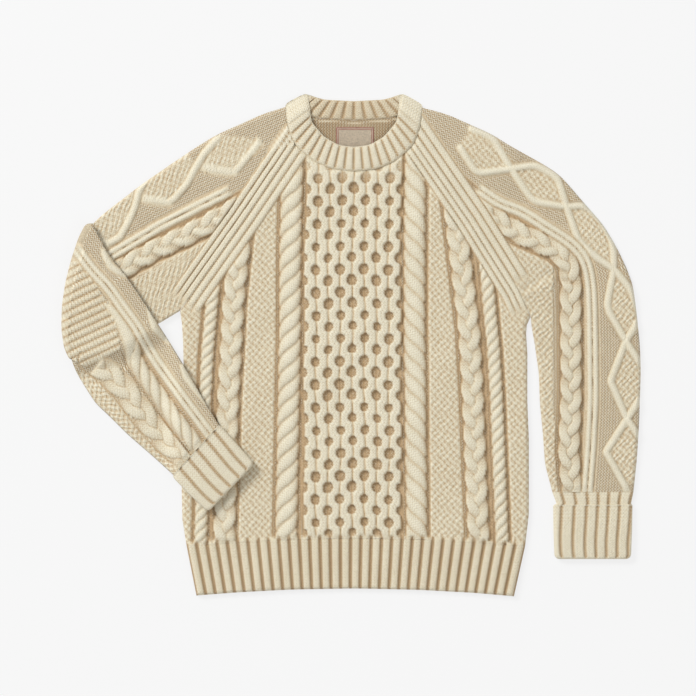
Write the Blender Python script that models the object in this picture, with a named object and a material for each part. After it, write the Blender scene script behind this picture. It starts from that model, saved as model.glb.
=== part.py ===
# A cable knit sweater laid flat on its back, its left sleeve folded over.
# One object per piece of the garment, in metres, with +Z up.

import math

import bmesh
import bpy
import numpy as np

for item in list(bpy.data.objects):
    bpy.data.objects.remove(item, do_unlink=True)

# Plan sizes. Plan points are (across, down) in steps of the knitting,
# counted from the upper left, and the middle of the garment is the origin.
STEP = 0.00136
MIDDLE = (351.172, 345.191)

# Heights above the floor and thicknesses, in millimetres.
MM = 0.001
BACK_TOP = 3.0
FRONT_BASE = 4.0
SEAM = 3.5
GROUND = 7.2
EDGE_ROUND = 5.0
SIDE_WALL = 3.4
RIM_RISE = 0.7
RIM_WIDTH = 5.0
CABLE = 3.4
RIB = 2.4

# The sleeve that is folded over rests this far up on what is below it.
REST = 12.3
FALL = 30.0
FOLD_MIDDLE = (GROUND + REST) / 2

# Half of the gap kept at a seam, in steps.
HALF_GAP = 0.13

# Neck band edges in plan: where it is sewn on and its folded top.
NECK_SEAM_FRONT = [
    (285.6, 106.6), (287.5, 127), (295, 145), (313, 161), (332, 169), (354, 171.6),
    (376, 169.3), (395, 161.5), (413, 145.5), (420.5, 127), (422.4, 107.6),
]
NECK_TOP_FRONT = [
    (308, 95), (310, 108), (311.5, 122), (324.5, 137), (338.6, 145), (354, 147),
    (369.5, 145), (383.5, 137), (396.5, 122), (398.5, 108), (400, 95),
]
NECK_SEAM_BACK = [
    (285.6, 106.6), (300, 114), (320, 118.5), (354, 120.5), (388, 118.5), (408, 114), (422.4, 107.6),
]
NECK_TOP_BACK = [(308, 95), (325, 99.5), (354, 101), (383, 99.5), (400, 95)]

# Raglan seams in plan, neck to underarm.
RAGLAN_LEFT = [(294.2, 144.5), (245, 218), (194, 290), (180, 311)]
RAGLAN_RIGHT = [(418.2, 136.2), (473, 218), (518, 290), (530.5, 317)]
RAGLAN_BACK_LEFT = [(300, 114), (245, 207), (194, 289), (180, 311)]
RAGLAN_BACK_RIGHT = [(408, 114), (470, 207), (518, 289), (530.5, 317)]

# Share across a sleeve of each corner of its first row: fold, neck, seam, underarm.
FRONT_KEYS = [0, 0.035, 0.1, 0.5, 0.9, 1]
BACK_KEYS = [0, 0.1, 0.5, 0.9, 1]

# Shares across a sleeve of its columns, closer together at the side folds.
SIDE_COLUMNS = np.concatenate([[0, 0.01, 0.035], np.linspace(0.1, 0.9, 9), [0.965, 0.99, 1]])

# Sides of the body, underarm to hem, and the two edges of the hem.
SIDE_LEFT = [
    (180, 311), (182, 324), (183.2, 345), (183.5, 365), (182, 420), (181.5, 484), (182.4, 520),
    (186.6, 546),
]
SIDE_RIGHT = [
    (530.5, 317), (527, 325), (526.2, 334), (527.5, 354), (527.4, 400), (529, 440), (529, 514),
    (525.2, 546),
]
HEM_TOP = [
    (186.6, 546), (230, 543), (290, 539.6), (355, 538.4), (420, 539.6), (480, 543), (525.2, 546),
]
HEM_END = [
    (196.4, 595.6), (240, 592.3), (290, 589.7), (355, 588.5), (420, 590), (475, 593), (514, 596.4),
]

# Sleeve edges in plan. Both run from the neck or underarm to the cuff.
SHOULDER_LEFT = [
    (285, 107.6), (263, 113.8), (241, 123.8), (218, 134), (201, 144), (171, 164),
    (142, 184), (116, 204), (103, 215), (93.5, 227.5),
]
UNDER_LEFT = [(179.6, 311), (159, 323.5), (118, 345), (76.5, 357.5)]
ELBOW = [
    (93.5, 227.5), (85, 243), (78, 262), (72.5, 284), (69.2, 306), (68.6, 328), (71, 346), (76.5, 357.5),
]
FOREARM_UPPER = [
    (93.5, 227.5), (108, 253), (126, 275), (142, 298), (159, 325), (184, 365), (203, 398), (219, 424.5),
]
FOREARM_LOWER = [
    (76.5, 357.5), (74.5, 369), (83, 384), (96, 404), (107, 414), (127, 434), (150, 454), (173.4, 474.8),
]
CUFF_LINE_LEFT = [(219, 424.5), (173.4, 474.8)]
SHOULDER_RIGHT = [
    (423, 107.8), (447, 114), (469, 124), (492, 134), (507, 144), (525, 154), (543, 164), (559, 174),
    (568, 184), (585, 204), (603, 224), (615, 244), (625, 264), (633, 284), (636.5, 310), (640, 344),
    (641, 370), (640, 400), (639, 430), (637, 460), (633.6, 492),
]
UNDER_RIGHT = [
    (530.9, 317), (531.3, 325), (534.8, 344), (539, 374), (540, 404), (543, 434), (545, 464), (552.4, 492),
]
CUFF_LINE_RIGHT = [(633.6, 492), (552.4, 492)]

# A line across the right upper arm where its rows turn down the arm, and the
# least width that the raglan ribs keep beside the seam, in steps.
TURN_RIGHT = [(585, 204), (581, 217), (564, 262), (541, 308), (531.1, 321)]
TURN_AT = 9
BAND_LEAST = 34.0
LEFT_SPREAD = 1.25

# Turned-back cuffs: both sides in plan, sleeve end first.
CUFF_RIGHT = (
    [(633.2, 492.3), (631.2, 503.5), (632.6, 505.5), (632.2, 530), (631.2, 555), (630.9, 559)],
    [(552.8, 492.3), (556.6, 503.5), (553.2, 505.5), (553.5, 530), (554.4, 555), (554.6, 559)],
)
CUFF_LEFT = (
    [(219.3, 424.9), (220.8, 425.6), (222.6, 427.4), (237, 443.4), (252.3, 460.6), (254.6, 463.5)],
    [(173.7, 475.2), (173.4, 476.6), (174.6, 478.8), (190, 494.6), (206, 509.5), (208.5, 511.6)],
)
CUFF_RIBS = 8
CUFF_RIB = 2.0
CUFF_PLY = [0, 0, 1, 1, 1, 1]
CUFF_PLY_RISE = 2.6
CUFF_LIP = 2.4
CUFF_WALL = 0.5

# Label on the inside of the back, four corners in plan.
LABEL_CORNERS = [(336, 127), (374, 127), (374, 150.5), (336, 150.5)]
LABEL_GAP = 0.3
LABEL_TOP = 1.1

# Cables on the front: centre at the top and bottom of the body,
# width, pitch down the panel, and slant of the strands.
CABLE_TOP = 150
CABLE_RUN = 390
CABLE_TURN = 0.25
CABLES = [
    # centre at the top, centre at the bottom, width, pitch, slant
    (290.5, 286.0, 22.5, 17.2, 0.75),
    (410.5, 416.5, 21.5, 17.2, -0.75),
    (243.0, 223.5, 21.5, 22.0, 0.0),
    (453.0, 478.5, 21.5, 22.0, 0.0),
    (224.0, 201.0, 12.5, 22.0, 0.5),
    (476.0, 502.5, 12.5, 22.0, 0.5),
]
COMB_SIDES = (303.0, 402.0)
COMB_HOLE = (317.8, 177.5)
COMB_PITCH = (23.6, 22.95)
COMB_DIP = 0.9

# Columns and rows of the front panel.
FRONT_COLUMNS = [
    177, 181, 184, 188, 194, 198, 203, 208, 215, 220, 227, 234, 241, 247, 262, 277,
    282, 288, 294, 300, 306, 311.9, 317.8, 323.7, 329.6, 335.5, 341.4, 347.3, 353.2, 359.1, 365,
    370.9, 376.8, 382.7, 388.6, 394.5, 400.4, 404, 410, 416, 422, 428, 446, 461, 468, 475,
    482, 490, 495, 500, 505, 511, 520, 525, 529, 533,
]
FRONT_ROW_START = 137.33
FRONT_ROW_END = 549.0
FRONT_ROW = COMB_PITCH[1] / 4
FRONT_FOLD_RISE = 0.8
UNDERARM = 311

# Hem: number of ribs, height of its two side columns, and its end over the seam level.
HEM_RIBS = 32
HEM_SIDES = [-2.4, -0.8]
HEM_ROWS = [0.0, 0.5, 0.93, 1.0]
HEM_LIP = 1.2

# Ribs beside the raglan seams, steps from the seam and height in millimetres.
BAND_STEPS = [0.0, 3.4, 6.2, 9.4, 12.0, 14.6, 17.4]
BAND_RISE = [-0.6, 1.7, -0.4, 1.9, -0.4, 1.7, 0.13]

# Share of the step across a row that lies square to the seam, and how far the band
# runs on past the neck end of the seam.
BAND_LEAN = 0.83
BAND_AHEAD = 0.12

# Neck band: columns on its front and back, half thickness, crest of its ribs, height of
# its middle line in front and behind, and where round the neck it turns over.
NECK_COLUMNS = 41
NECK_BACK_COLUMNS = 24
NECK_HALF = 2.6
NECK_RIB = 1.1
NECK_INSET = 0.012
NECK_LEVEL_FRONT = 8.0
NECK_LEVEL_BACK = 2.6
NECK_DROP = 2.7
NECK_TURN_FRONT = (0.86, 0.14)
NECK_TURN_BACK = (0.8, 0.2)
NECK_PROFILE = [
    (0.0, -0.9), (0.0, 0.9), (0.2, 1.0), (0.75, 1.0), (1.0, 0.6), (1.0, -0.6), (0.75, -1.0), (0.2, -1.0),
]

# Raised lines on the sleeves: height, half width and plan points.
RIGHT_LINES = [
    (2.8, 7.0, [(475, 173), (511, 168), (535, 203), (566, 207), (581, 247), (613, 265), (605, 307),
                (625, 340), (609, 381), (627, 418), (605, 451), (625, 486)]),
    (2.0, 6.0, [(478, 187), (500, 203), (525, 215), (560, 235), (580, 250), (588, 275), (593, 350),
                (594, 400), (588, 486)]),
    (2.8, 9.0, [(490, 215), (525, 240), (550, 257), (568, 290), (571, 400), (568, 450), (572, 484)]),
]
LEFT_LINES = [
    (2.8, 7.0, [(270, 165), (236, 173), (218, 142), (175, 201), (142, 188), (115, 238)]),
    (2.0, 6.0, [(226, 194), (170, 225), (114, 256)]),
    (2.8, 9.0, [(210, 215), (170, 242), (134, 266)]),
]
FOREARM_LINES = [
    (2.2, 6.0, [(80, 255), (108, 292), (135, 330), (162, 374), (198, 430)]),
    (3.0, 8.0, [(122, 334), (143, 374), (166, 405), (188, 436)]),
    (3.0, 10.0, [(105, 374), (124, 394), (143, 410), (174, 446)]),
]

# Colours and roughness.
CREAM = (0.78, 0.70, 0.54)
LABEL_CREAM = (0.80, 0.74, 0.62)
WOOL_ROUGHNESS = 0.9
LABEL_ROUGHNESS = 0.7

# Points closer than this become one, in metres.
WELD = 2e-6
SLIVER = 1e-6


def paint(name, colour, roughness):
    """One material with its own name and colour."""
    material = bpy.data.materials.new(name)
    material.use_nodes = True
    shader = material.node_tree.nodes["Principled BSDF"]
    shader.inputs["Base Color"].default_value = (*colour, 1.0)
    shader.inputs["Roughness"].default_value = roughness
    material.diffuse_color = (*colour, 1.0)
    return material


def at(points, share):
    """Plan points at shares of the length of a line."""
    line = np.asarray(points, float)
    leg = np.hypot(np.diff(line[:, 0]), np.diff(line[:, 1]))
    run = np.concatenate([[0.0], np.cumsum(leg)]) / leg.sum()
    return np.stack([np.interp(share, run, line[:, k]) for k in (0, 1)], -1)


def keyed(points, keys, share):
    """Plan points of a line whose corners are at given shares."""
    line = np.asarray(points, float)
    return np.stack([np.interp(share, keys, line[:, k]) for k in (0, 1)], -1)


def rounded(points, count):
    """The same line with its corners rounded, as evenly placed points."""
    line = at(points, np.linspace(0, 1, count))
    for _ in range(2):
        line[1:-1] = (line[:-2] + 2 * line[1:-1] + line[2:]) / 4
    return line


def place(plan, height):
    """Plan steps and millimetres of height to points in metres."""
    out = np.empty(plan.shape[:-1] + (3,))
    out[..., 0] = (plan[..., 0] - MIDDLE[0]) * STEP
    out[..., 1] = (MIDDLE[1] - plan[..., 1]) * STEP
    out[..., 2] = height * MM
    return out


def distance(plan, points):
    """Distance of plan points from a line, in steps."""
    best = np.full(plan.shape[:-1], 1e9)
    for a, b in zip(points[:-1], points[1:]):
        a = np.asarray(a, float)
        leg = np.asarray(b, float) - a
        along = ((plan - a) @ leg) / (leg @ leg)
        near = a + np.clip(along, 0, 1)[..., None] * leg
        best = np.minimum(best, np.hypot(*np.moveaxis(plan - near, -1, 0)))
    return best


def inside(plan, polygon):
    """True where plan points are inside a polygon."""
    hit = np.zeros(plan.shape[:-1], bool)
    x, y = plan[..., 0], plan[..., 1]
    for (ax, ay), (bx, by) in zip(polygon, polygon[1:] + polygon[:1]):
        if ay == by:
            continue
        crosses = (ay > y) != (by > y)
        hit ^= crosses & (x < (bx - ax) * (y - ay) / (by - ay) + ax)
    return hit


def raised(plan, lines):
    """Height of raised lines over the ground of a panel."""
    out = np.zeros(plan.shape[:-1])
    for height, half, points in lines:
        share = distance(plan, points) / half
        out = np.maximum(out, height * np.clip(1 - share**2, 0, 1))
    return out


def shell(name, faces, material):
    """One closed body from lists of corner points, welded and turned outward."""
    mesh = bpy.data.meshes.new(name)
    bm = bmesh.new()
    for corners in faces:
        bm.faces.new([bm.verts.new(tuple(p)) for p in corners])
    bmesh.ops.remove_doubles(bm, verts=bm.verts[:], dist=WELD)
    bmesh.ops.dissolve_degenerate(bm, edges=bm.edges[:], dist=SLIVER)
    bmesh.ops.triangulate(bm, faces=bm.faces[:])
    bmesh.ops.recalc_face_normals(bm, faces=bm.faces[:])
    bm.to_mesh(mesh)
    bm.free()
    mesh.materials.append(material)
    item = bpy.data.objects.new(name, mesh)
    bpy.context.scene.collection.objects.link(item)
    return item


def quads(grid):
    """The four-cornered faces of a grid of points."""
    rows, columns = grid.shape[:2]
    return [
        (grid[i, j], grid[i + 1, j], grid[i + 1, j + 1], grid[i, j + 1])
        for i in range(rows - 1)
        for j in range(columns - 1)
    ]


def rim(grid):
    """Points round the edge of a grid."""
    return np.concatenate([grid[0, :-1], grid[:-1, -1], grid[-1, :0:-1], grid[:0:-1, 0]])


def slab(name, top, base, material):
    """A panel with a shaped top over a flat underside."""
    edge = rim(top)
    low = edge.copy()
    low[:, 2] = base * MM
    faces = quads(top) + [tuple(low)]
    count = len(edge)
    for k in range(count):
        n = (k + 1) % count
        faces.append((edge[k], edge[n], low[n], low[k]))
    return shell(name, faces, material)


def prism(name, polygon, base, top, material):
    """A flat plate with straight sides."""
    plan = np.asarray(polygon, float)
    low = place(plan, base)
    high = place(plan, top)
    faces = [tuple(low), tuple(high)]
    count = len(plan)
    for k in range(count):
        n = (k + 1) % count
        faces.append((low[k], low[n], high[n], high[k]))
    return shell(name, faces, material)


def combine(item, other, operation):
    """Apply one Boolean step and remove the body it used."""
    step = item.modifiers.new(operation.lower(), "BOOLEAN")
    step.operation = operation
    step.solver = "EXACT"
    step.object = other
    bpy.context.view_layer.update()
    graph = bpy.context.evaluated_depsgraph_get()
    mesh = bpy.data.meshes.new_from_object(item.evaluated_get(graph))
    item.modifiers.clear()
    item.data = mesh
    bpy.data.objects.remove(other, do_unlink=True)


def tube(name, front, back, front_inner, back_inner, material):
    """A flattened tube: outer and inner grids joined at both open ends."""
    faces = quads(front) + quads(back) + quads(front_inner) + quads(back_inner)
    for outer, inner in ((front, front_inner), (back, back_inner)):
        for row in (0, -1):
            for j in range(outer.shape[1] - 1):
                faces.append((outer[row, j], outer[row, j + 1], inner[row, j + 1], inner[row, j]))
    return shell(name, faces, material)


def crossing(points, side):
    """Points of a line across a sleeve; its corners keep to given columns."""
    keys = {len(FRONT_KEYS): FRONT_KEYS, len(BACK_KEYS): BACK_KEYS}.get(len(points))
    return at(points, side) if keys is None else keyed(points, keys, side)


def patch(start, end, upper, lower, share, side):
    """Plan points inside four edge lines, by share along and across."""
    a = crossing(start, side)
    b = crossing(end, side)
    c = at(upper, share)
    d = at(lower, share)
    p00, p01 = np.asarray(start[0], float), np.asarray(start[-1], float)
    p10, p11 = np.asarray(end[0], float), np.asarray(end[-1], float)
    t = share[..., None]
    v = side[..., None]
    corners = (1 - t) * (1 - v) * p00 + (1 - t) * v * p01 + t * (1 - v) * p10 + t * v * p11
    return (1 - t) * a + t * b + (1 - v) * c + v * d - corners


def crown(depth):
    """Share of full height at a distance in millimetres in from a side fold."""
    reach = np.clip(depth / EDGE_ROUND, 0, 1)
    return np.sqrt(1 - (1 - reach) ** 2)


def front_relief(plan):
    """Height of the cables and the honeycomb over the ground of the front."""
    x, y = plan[..., 0], plan[..., 1]
    out = np.zeros(x.shape)
    wave = np.cos(2 * math.pi * (x - COMB_HOLE[0]) / COMB_PITCH[0])
    wave = wave * np.cos(2 * math.pi * (y - COMB_HOLE[1]) / COMB_PITCH[1])
    comb = CABLE * np.clip(1.0 - COMB_DIP * wave, 0, 1)
    out = np.where((x > COMB_SIDES[0]) & (x < COMB_SIDES[1]), comb, out)
    for high, low, width, pitch, slant in CABLES:
        centre = high + (low - high) * (y - CABLE_TOP) / CABLE_RUN
        across = np.clip(1 - (2 * (x - centre) / width) ** 2, 0, 1)
        turn = np.cos(2 * math.pi * (y + slant * (x - centre)) / pitch)
        turned = 1 - CABLE_TURN + CABLE_TURN * turn
        out = np.maximum(out, CABLE * np.sqrt(across) * turned)
    return out


def shifted(points, across):
    """A line moved sideways in plan."""
    return [(x + across, y) for x, y in points]


def make_front(material):
    """Front panel: cables, with the ribs beside both raglan seams."""
    left = shifted(RAGLAN_LEFT, HALF_GAP)
    right = shifted(RAGLAN_RIGHT, -HALF_GAP)
    neck = [tuple(p) for p in rounded(NECK_SEAM_FRONT, NECK_COLUMNS) if p[1] > 136.5]
    neck = [(x, y + HALF_GAP) for x, y in neck if left[0][0] + 1 < x < right[0][0] - 1]
    hem = [(x, y - HALF_GAP) for x, y in HEM_TOP]
    outline = left[::-1] + neck + right + SIDE_RIGHT[1:-1] + hem[::-1] + SIDE_LEFT[-2:0:-1]
    rows = np.arange(FRONT_ROW_START, FRONT_ROW_END, FRONT_ROW)
    plan = np.stack(np.meshgrid(FRONT_COLUMNS, rows), -1)
    ends = (np.interp(plan[..., 1], *np.array(SIDE_LEFT).T[::-1]),
            np.interp(plan[..., 1], *np.array(SIDE_RIGHT).T[::-1]))
    depth = np.minimum(plan[..., 0] - ends[0], ends[1] - plan[..., 0]) * STEP / MM
    depth = np.where(plan[..., 1] > UNDERARM, depth, EDGE_ROUND)
    fold = SEAM + FRONT_FOLD_RISE
    height = (GROUND + front_relief(plan) - fold) * crown(depth) + fold
    item = slab("front_body", place(plan, height), 1.0, material)
    width = BAND_STEPS[-1] / BAND_LEAN
    inner_left = shifted(RAGLAN_LEFT, width)
    inner_right = shifted(RAGLAN_RIGHT, -width)
    middle = inner_left[:-1][::-1] + [(300, 120), (410, 120)] + inner_right[:-1]
    middle = [(170, 305)] + middle + [(540, 305), (540, 560), (170, 560)]
    combine(item, prism("middle_cutter", middle, -5, 30, material), "INTERSECT")
    for line, way in ((RAGLAN_LEFT, 1), (RAGLAN_RIGHT, -1)):
        steps = np.array([-1.5] + BAND_STEPS + [BAND_STEPS[-1] + 0.8]) * way / BAND_LEAN
        rise = np.array([-0.9] + BAND_RISE + [-0.7])
        first, last = np.array(line[0]), np.array(line[-1])
        top = tuple(first - (last - first) * BAND_AHEAD)
        run = at([top] + line[:-1] + [(line[-1][0], line[-1][1] + 0.5)], np.linspace(0, 1, 9))
        band = run[:, None, :] + np.stack([steps, 0 * steps], -1)[None]
        height = GROUND + np.broadcast_to(rise, band.shape[:2])
        combine(item, slab("band", place(band, height), 2.0, material), "UNION")
    combine(item, prism("outline_cutter", outline, FRONT_BASE, 30, material), "INTERSECT")
    return item


def inset(polygon, width):
    """A polygon moved inward by a width in steps."""
    p = np.asarray(polygon, float)
    ahead = np.roll(p, -1, axis=0) - p
    ahead /= np.hypot(ahead[:, 0], ahead[:, 1])[:, None]
    behind = np.roll(ahead, 1, axis=0)
    normal = np.stack([-(ahead + behind)[:, 1], (ahead + behind)[:, 0]], -1)
    normal /= (1 + (ahead * behind).sum(1))[:, None]
    return p + normal * width


def rimmed(name, polygon, material):
    """A flat back panel whose edge turns up to meet the panel above."""
    p = np.asarray(polygon, float)
    inner = inset(polygon, RIM_WIDTH * MM / STEP)
    low = place(p, 0.0)
    edge = place(p, SEAM + 0.2)
    floor = place(inner, BACK_TOP)
    faces = [tuple(low), tuple(floor)]
    count = len(p)
    for k in range(count):
        n = (k + 1) % count
        faces.append((low[k], low[n], edge[n], edge[k]))
        faces.append((edge[k], edge[n], floor[n], floor[k]))
    return shell(name, faces, material)


def make_back(material):
    """Back panel, one flat ply under the front."""
    left = shifted(RAGLAN_BACK_LEFT, HALF_GAP)
    right = shifted(RAGLAN_BACK_RIGHT, -HALF_GAP)
    neck = [(x, y + 2 * HALF_GAP) for x, y in NECK_SEAM_BACK[1:-1]]
    hem = [(x, y - HALF_GAP) for x, y in HEM_TOP]
    outline = neck + right[1:] + SIDE_RIGHT[1:-1] + hem[::-1] + SIDE_LEFT[-2:0:-1] + left[:0:-1]
    return rimmed("back_body", outline, material)


def make_hems(material_front, material_back):
    """Ribbed hem: a front band over a plain back band."""
    side = np.linspace(0, 1, 2 * HEM_RIBS + 1)
    side = np.concatenate([[0.0, 0.004], side[1:-1], [0.996, 1.0]])
    share = np.array(HEM_ROWS)
    upper = np.array([(x, y + HALF_GAP) for x, y in HEM_TOP])
    lower = np.array(HEM_END, float)
    down = share[:, None, None]
    plan = (1 - down) * at(upper, side) + down * at(lower, side)
    crest = np.tile([0.0, RIB], HEM_RIBS)[1:]
    rise = np.concatenate([HEM_SIDES, crest, HEM_SIDES[::-1]])
    height = GROUND + rise[None, :] + np.zeros((len(share), 1))
    height[-1] = SEAM + HEM_LIP
    slab("hem_rib_front", place(plan, height), FRONT_BASE, material_front)
    outline = [tuple(p) for p in upper] + [tuple(p) for p in lower[::-1]]
    rimmed("hem_rib_back", outline, material_back)


def make_neck(material):
    """Doubled neck rib: a short flattened tube round the neck."""
    count_front, count_back = NECK_COLUMNS - 1, NECK_BACK_COLUMNS
    share_front = np.linspace(0, 1, count_front + 1)
    share_back = np.linspace(1, 0, count_back + 1)[1:-1]
    seam = np.concatenate([rounded(NECK_SEAM_FRONT, NECK_COLUMNS), at(NECK_SEAM_BACK, share_back)])
    top = np.concatenate([at(NECK_TOP_FRONT, share_front), at(NECK_TOP_BACK, share_back)])
    seam = seam + (top - seam) * NECK_INSET
    total = len(seam)
    level = np.empty(total)
    turn = np.empty(total)
    reach = np.abs(share_front - 0.5) * 2
    over = np.clip((reach - NECK_TURN_FRONT[0]) / NECK_TURN_FRONT[1], 0, 1)
    level[:count_front + 1] = NECK_LEVEL_FRONT - NECK_DROP * over
    turn[:count_front + 1] = 1.0 - over
    reach = np.abs(share_back - 0.5) * 2
    over = np.clip((reach - NECK_TURN_BACK[0]) / NECK_TURN_BACK[1], 0, 1)
    level[count_front + 1:] = NECK_LEVEL_BACK + NECK_DROP * over
    turn[count_front + 1:] = -1.0 + over
    crest = np.where(np.arange(total) % 2 == 1, NECK_RIB, 0.0)
    out = seam - top
    out /= np.hypot(out[:, 0], out[:, 1])[:, None]
    side = np.stack([-out[:, 1], out[:, 0]], -1)
    side *= np.where(seam[:, 0] < 354, 1, -1)[:, None]
    lean = np.sqrt(1 - turn**2)
    ring = np.empty((total, len(NECK_PROFILE), 3))
    for k, (share, way) in enumerate(NECK_PROFILE):
        ribbed = way * turn > 0
        thick = way * (NECK_HALF + np.where(ribbed, crest, 0))
        plan = seam + (top - seam) * share + side * (thick * lean)[:, None] * MM / STEP
        ring[:, k] = place(plan, level + thick * turn)
    faces = []
    for i in range(total):
        n = (i + 1) % total
        for k in range(len(NECK_PROFILE)):
            m = (k + 1) % len(NECK_PROFILE)
            faces.append((ring[i, k], ring[n, k], ring[n, m], ring[i, m]))
    return shell("neck_rib", faces, material)


def body_outline():
    """Plan outline of the body, used for what lies on it."""
    return RAGLAN_LEFT[::-1] + RAGLAN_RIGHT + SIDE_RIGHT[1:] + HEM_END[::-1] + SIDE_LEFT[::-1][:-1]


def lying_height(plan):
    """How far up cloth lies that goes over the upper arm and the body."""
    over = np.zeros(plan.shape[:-1])
    arm = SHOULDER_LEFT + ELBOW[1:] + UNDER_LEFT[::-1][1:]
    for outline in (arm, body_outline()):
        away = distance(plan, outline + outline[:1]) * STEP / MM
        away = np.where(inside(plan, outline), 0.0, away)
        share = np.clip(1 - away / FALL, 0, 1)
        over = np.maximum(over, share * share * (3 - 2 * share))
    return REST * over


def rows_to(start_steps, length, count):
    """Shares along each column: fixed steps first, then even ones."""
    first = np.asarray(start_steps)[:, None] / length[None, :]
    rest = np.linspace(0, 1, count + 1)[1:, None]
    return np.concatenate([first, first[-1:] + (1 - first[-1:]) * rest])


def length_of(points):
    """Length of a line in steps."""
    return float(np.hypot(*np.diff(np.asarray(points, float), axis=0).T).sum())


def side_depth(plan):
    """Distance in millimetres of each point from the two side folds of its row."""
    near = np.hypot(*np.moveaxis(plan - plan[:, :1], -1, 0))
    far = np.hypot(*np.moveaxis(plan - plan[:, -1:], -1, 0))
    return np.minimum(near, far) * STEP / MM


def pulled_in(plan, side):
    """The same rows with their ends moved in by the thickness of the side wall."""
    width = np.hypot(*np.moveaxis(plan[:, -1] - plan[:, 0], -1, 0))
    wall = SIDE_WALL * MM / STEP / width
    out = np.empty(plan.shape)
    for row in range(len(plan)):
        share = side.copy()
        for k in range(3):
            share[k] = max(side[k], wall[row] * (1 + 0.2 * k))
            share[-1 - k] = 1 - share[k]
        for axis in (0, 1):
            out[row, :, axis] = np.interp(share, side, plan[row, :, axis])
    across = (plan[:, -1] - plan[:, 0]) * wall[:, None]
    out[:, 0] = plan[:, 0] + across
    out[:, -1] = plan[:, -1] - across
    return out


def plies(plan, relief):
    """Heights of the four surfaces of a flattened tube over its own underside."""
    high = crown(side_depth(plan))
    front = SEAM + (GROUND + relief - SEAM) * high
    back = SEAM * (1 - high)
    end = np.zeros(plan.shape[:2])
    end[:, 0] = end[:, -1] = 1
    front_inner = np.where(end > 0, SEAM, FRONT_BASE)
    back_inner = np.where(end > 0, SEAM, BACK_TOP)
    return front, back, front_inner, back_inner


def sleeve_plan(start, end, upper, lower, count):
    """Plan grid of a sleeve, with rows beside its raglan seam."""
    side = SIDE_COLUMNS
    length = (1 - side) * length_of(upper) + side * length_of(lower)
    share = rows_to(np.array(BAND_STEPS) * LEFT_SPREAD, length, count)
    return patch(start, end, upper, lower, share, np.broadcast_to(side, share.shape))


def sleeve_plan_right(start):
    """Plan grid of the right sleeve: the rows beside the seam, then the arm."""
    side = SIDE_COLUMNS
    lower_first = [UNDER_RIGHT[0], TURN_RIGHT[-1]]
    across = crossing(TURN_RIGHT, side) - crossing(start, side)
    length = np.maximum(np.hypot(across[:, 0], across[:, 1]) * 0.85, BAND_LEAST)
    share = rows_to(BAND_STEPS, length, 5)[:-1]
    first = patch(start, TURN_RIGHT, SHOULDER_RIGHT[:TURN_AT + 1], lower_first,
                  share, np.broadcast_to(side, share.shape))
    share = np.broadcast_to(np.linspace(0, 1, 15)[:, None], (15, len(side)))
    lower_rest = TURN_RIGHT[-1:] + UNDER_RIGHT[1:]
    rest = patch(TURN_RIGHT, CUFF_LINE_RIGHT, SHOULDER_RIGHT[TURN_AT:], lower_rest,
                 share, np.broadcast_to(side, share.shape))
    return np.concatenate([first, rest])


def band_relief(plan):
    """Height of the ribs beside the raglan seam of a sleeve."""
    rise = np.zeros(plan.shape[:2])
    rise[:len(BAND_RISE)] = np.array(BAND_RISE)[:, None]
    rise[:, :4] = 0
    return rise


def make_sleeve_right(material):
    """Flat sleeve at the viewer's right."""
    seam = shifted(RAGLAN_RIGHT, HALF_GAP)
    start_front = [SHOULDER_RIGHT[0], (420.9, 127), seam[0]] + seam[1:-1] + [UNDER_RIGHT[0]]
    start_back = [SHOULDER_RIGHT[0]] + shifted(RAGLAN_BACK_RIGHT, HALF_GAP)[:-1] + [UNDER_RIGHT[0]]
    front = sleeve_plan_right(start_front)
    back = sleeve_plan_right(start_back)
    fade = np.ones(front.shape[:2])
    fade[:len(BAND_STEPS)] = 0
    relief = raised(front, RIGHT_LINES) * fade + band_relief(front)
    front_high, _, inner_high, _ = plies(front, relief)
    _, back_low, _, inner_low = plies(back, 0)
    inner_front = place(pulled_in(front, SIDE_COLUMNS), inner_high)
    inner_back = place(pulled_in(back, SIDE_COLUMNS), inner_low)
    tube("sleeve_right", place(front, front_high), place(back, back_low), inner_front, inner_back, material)


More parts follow.
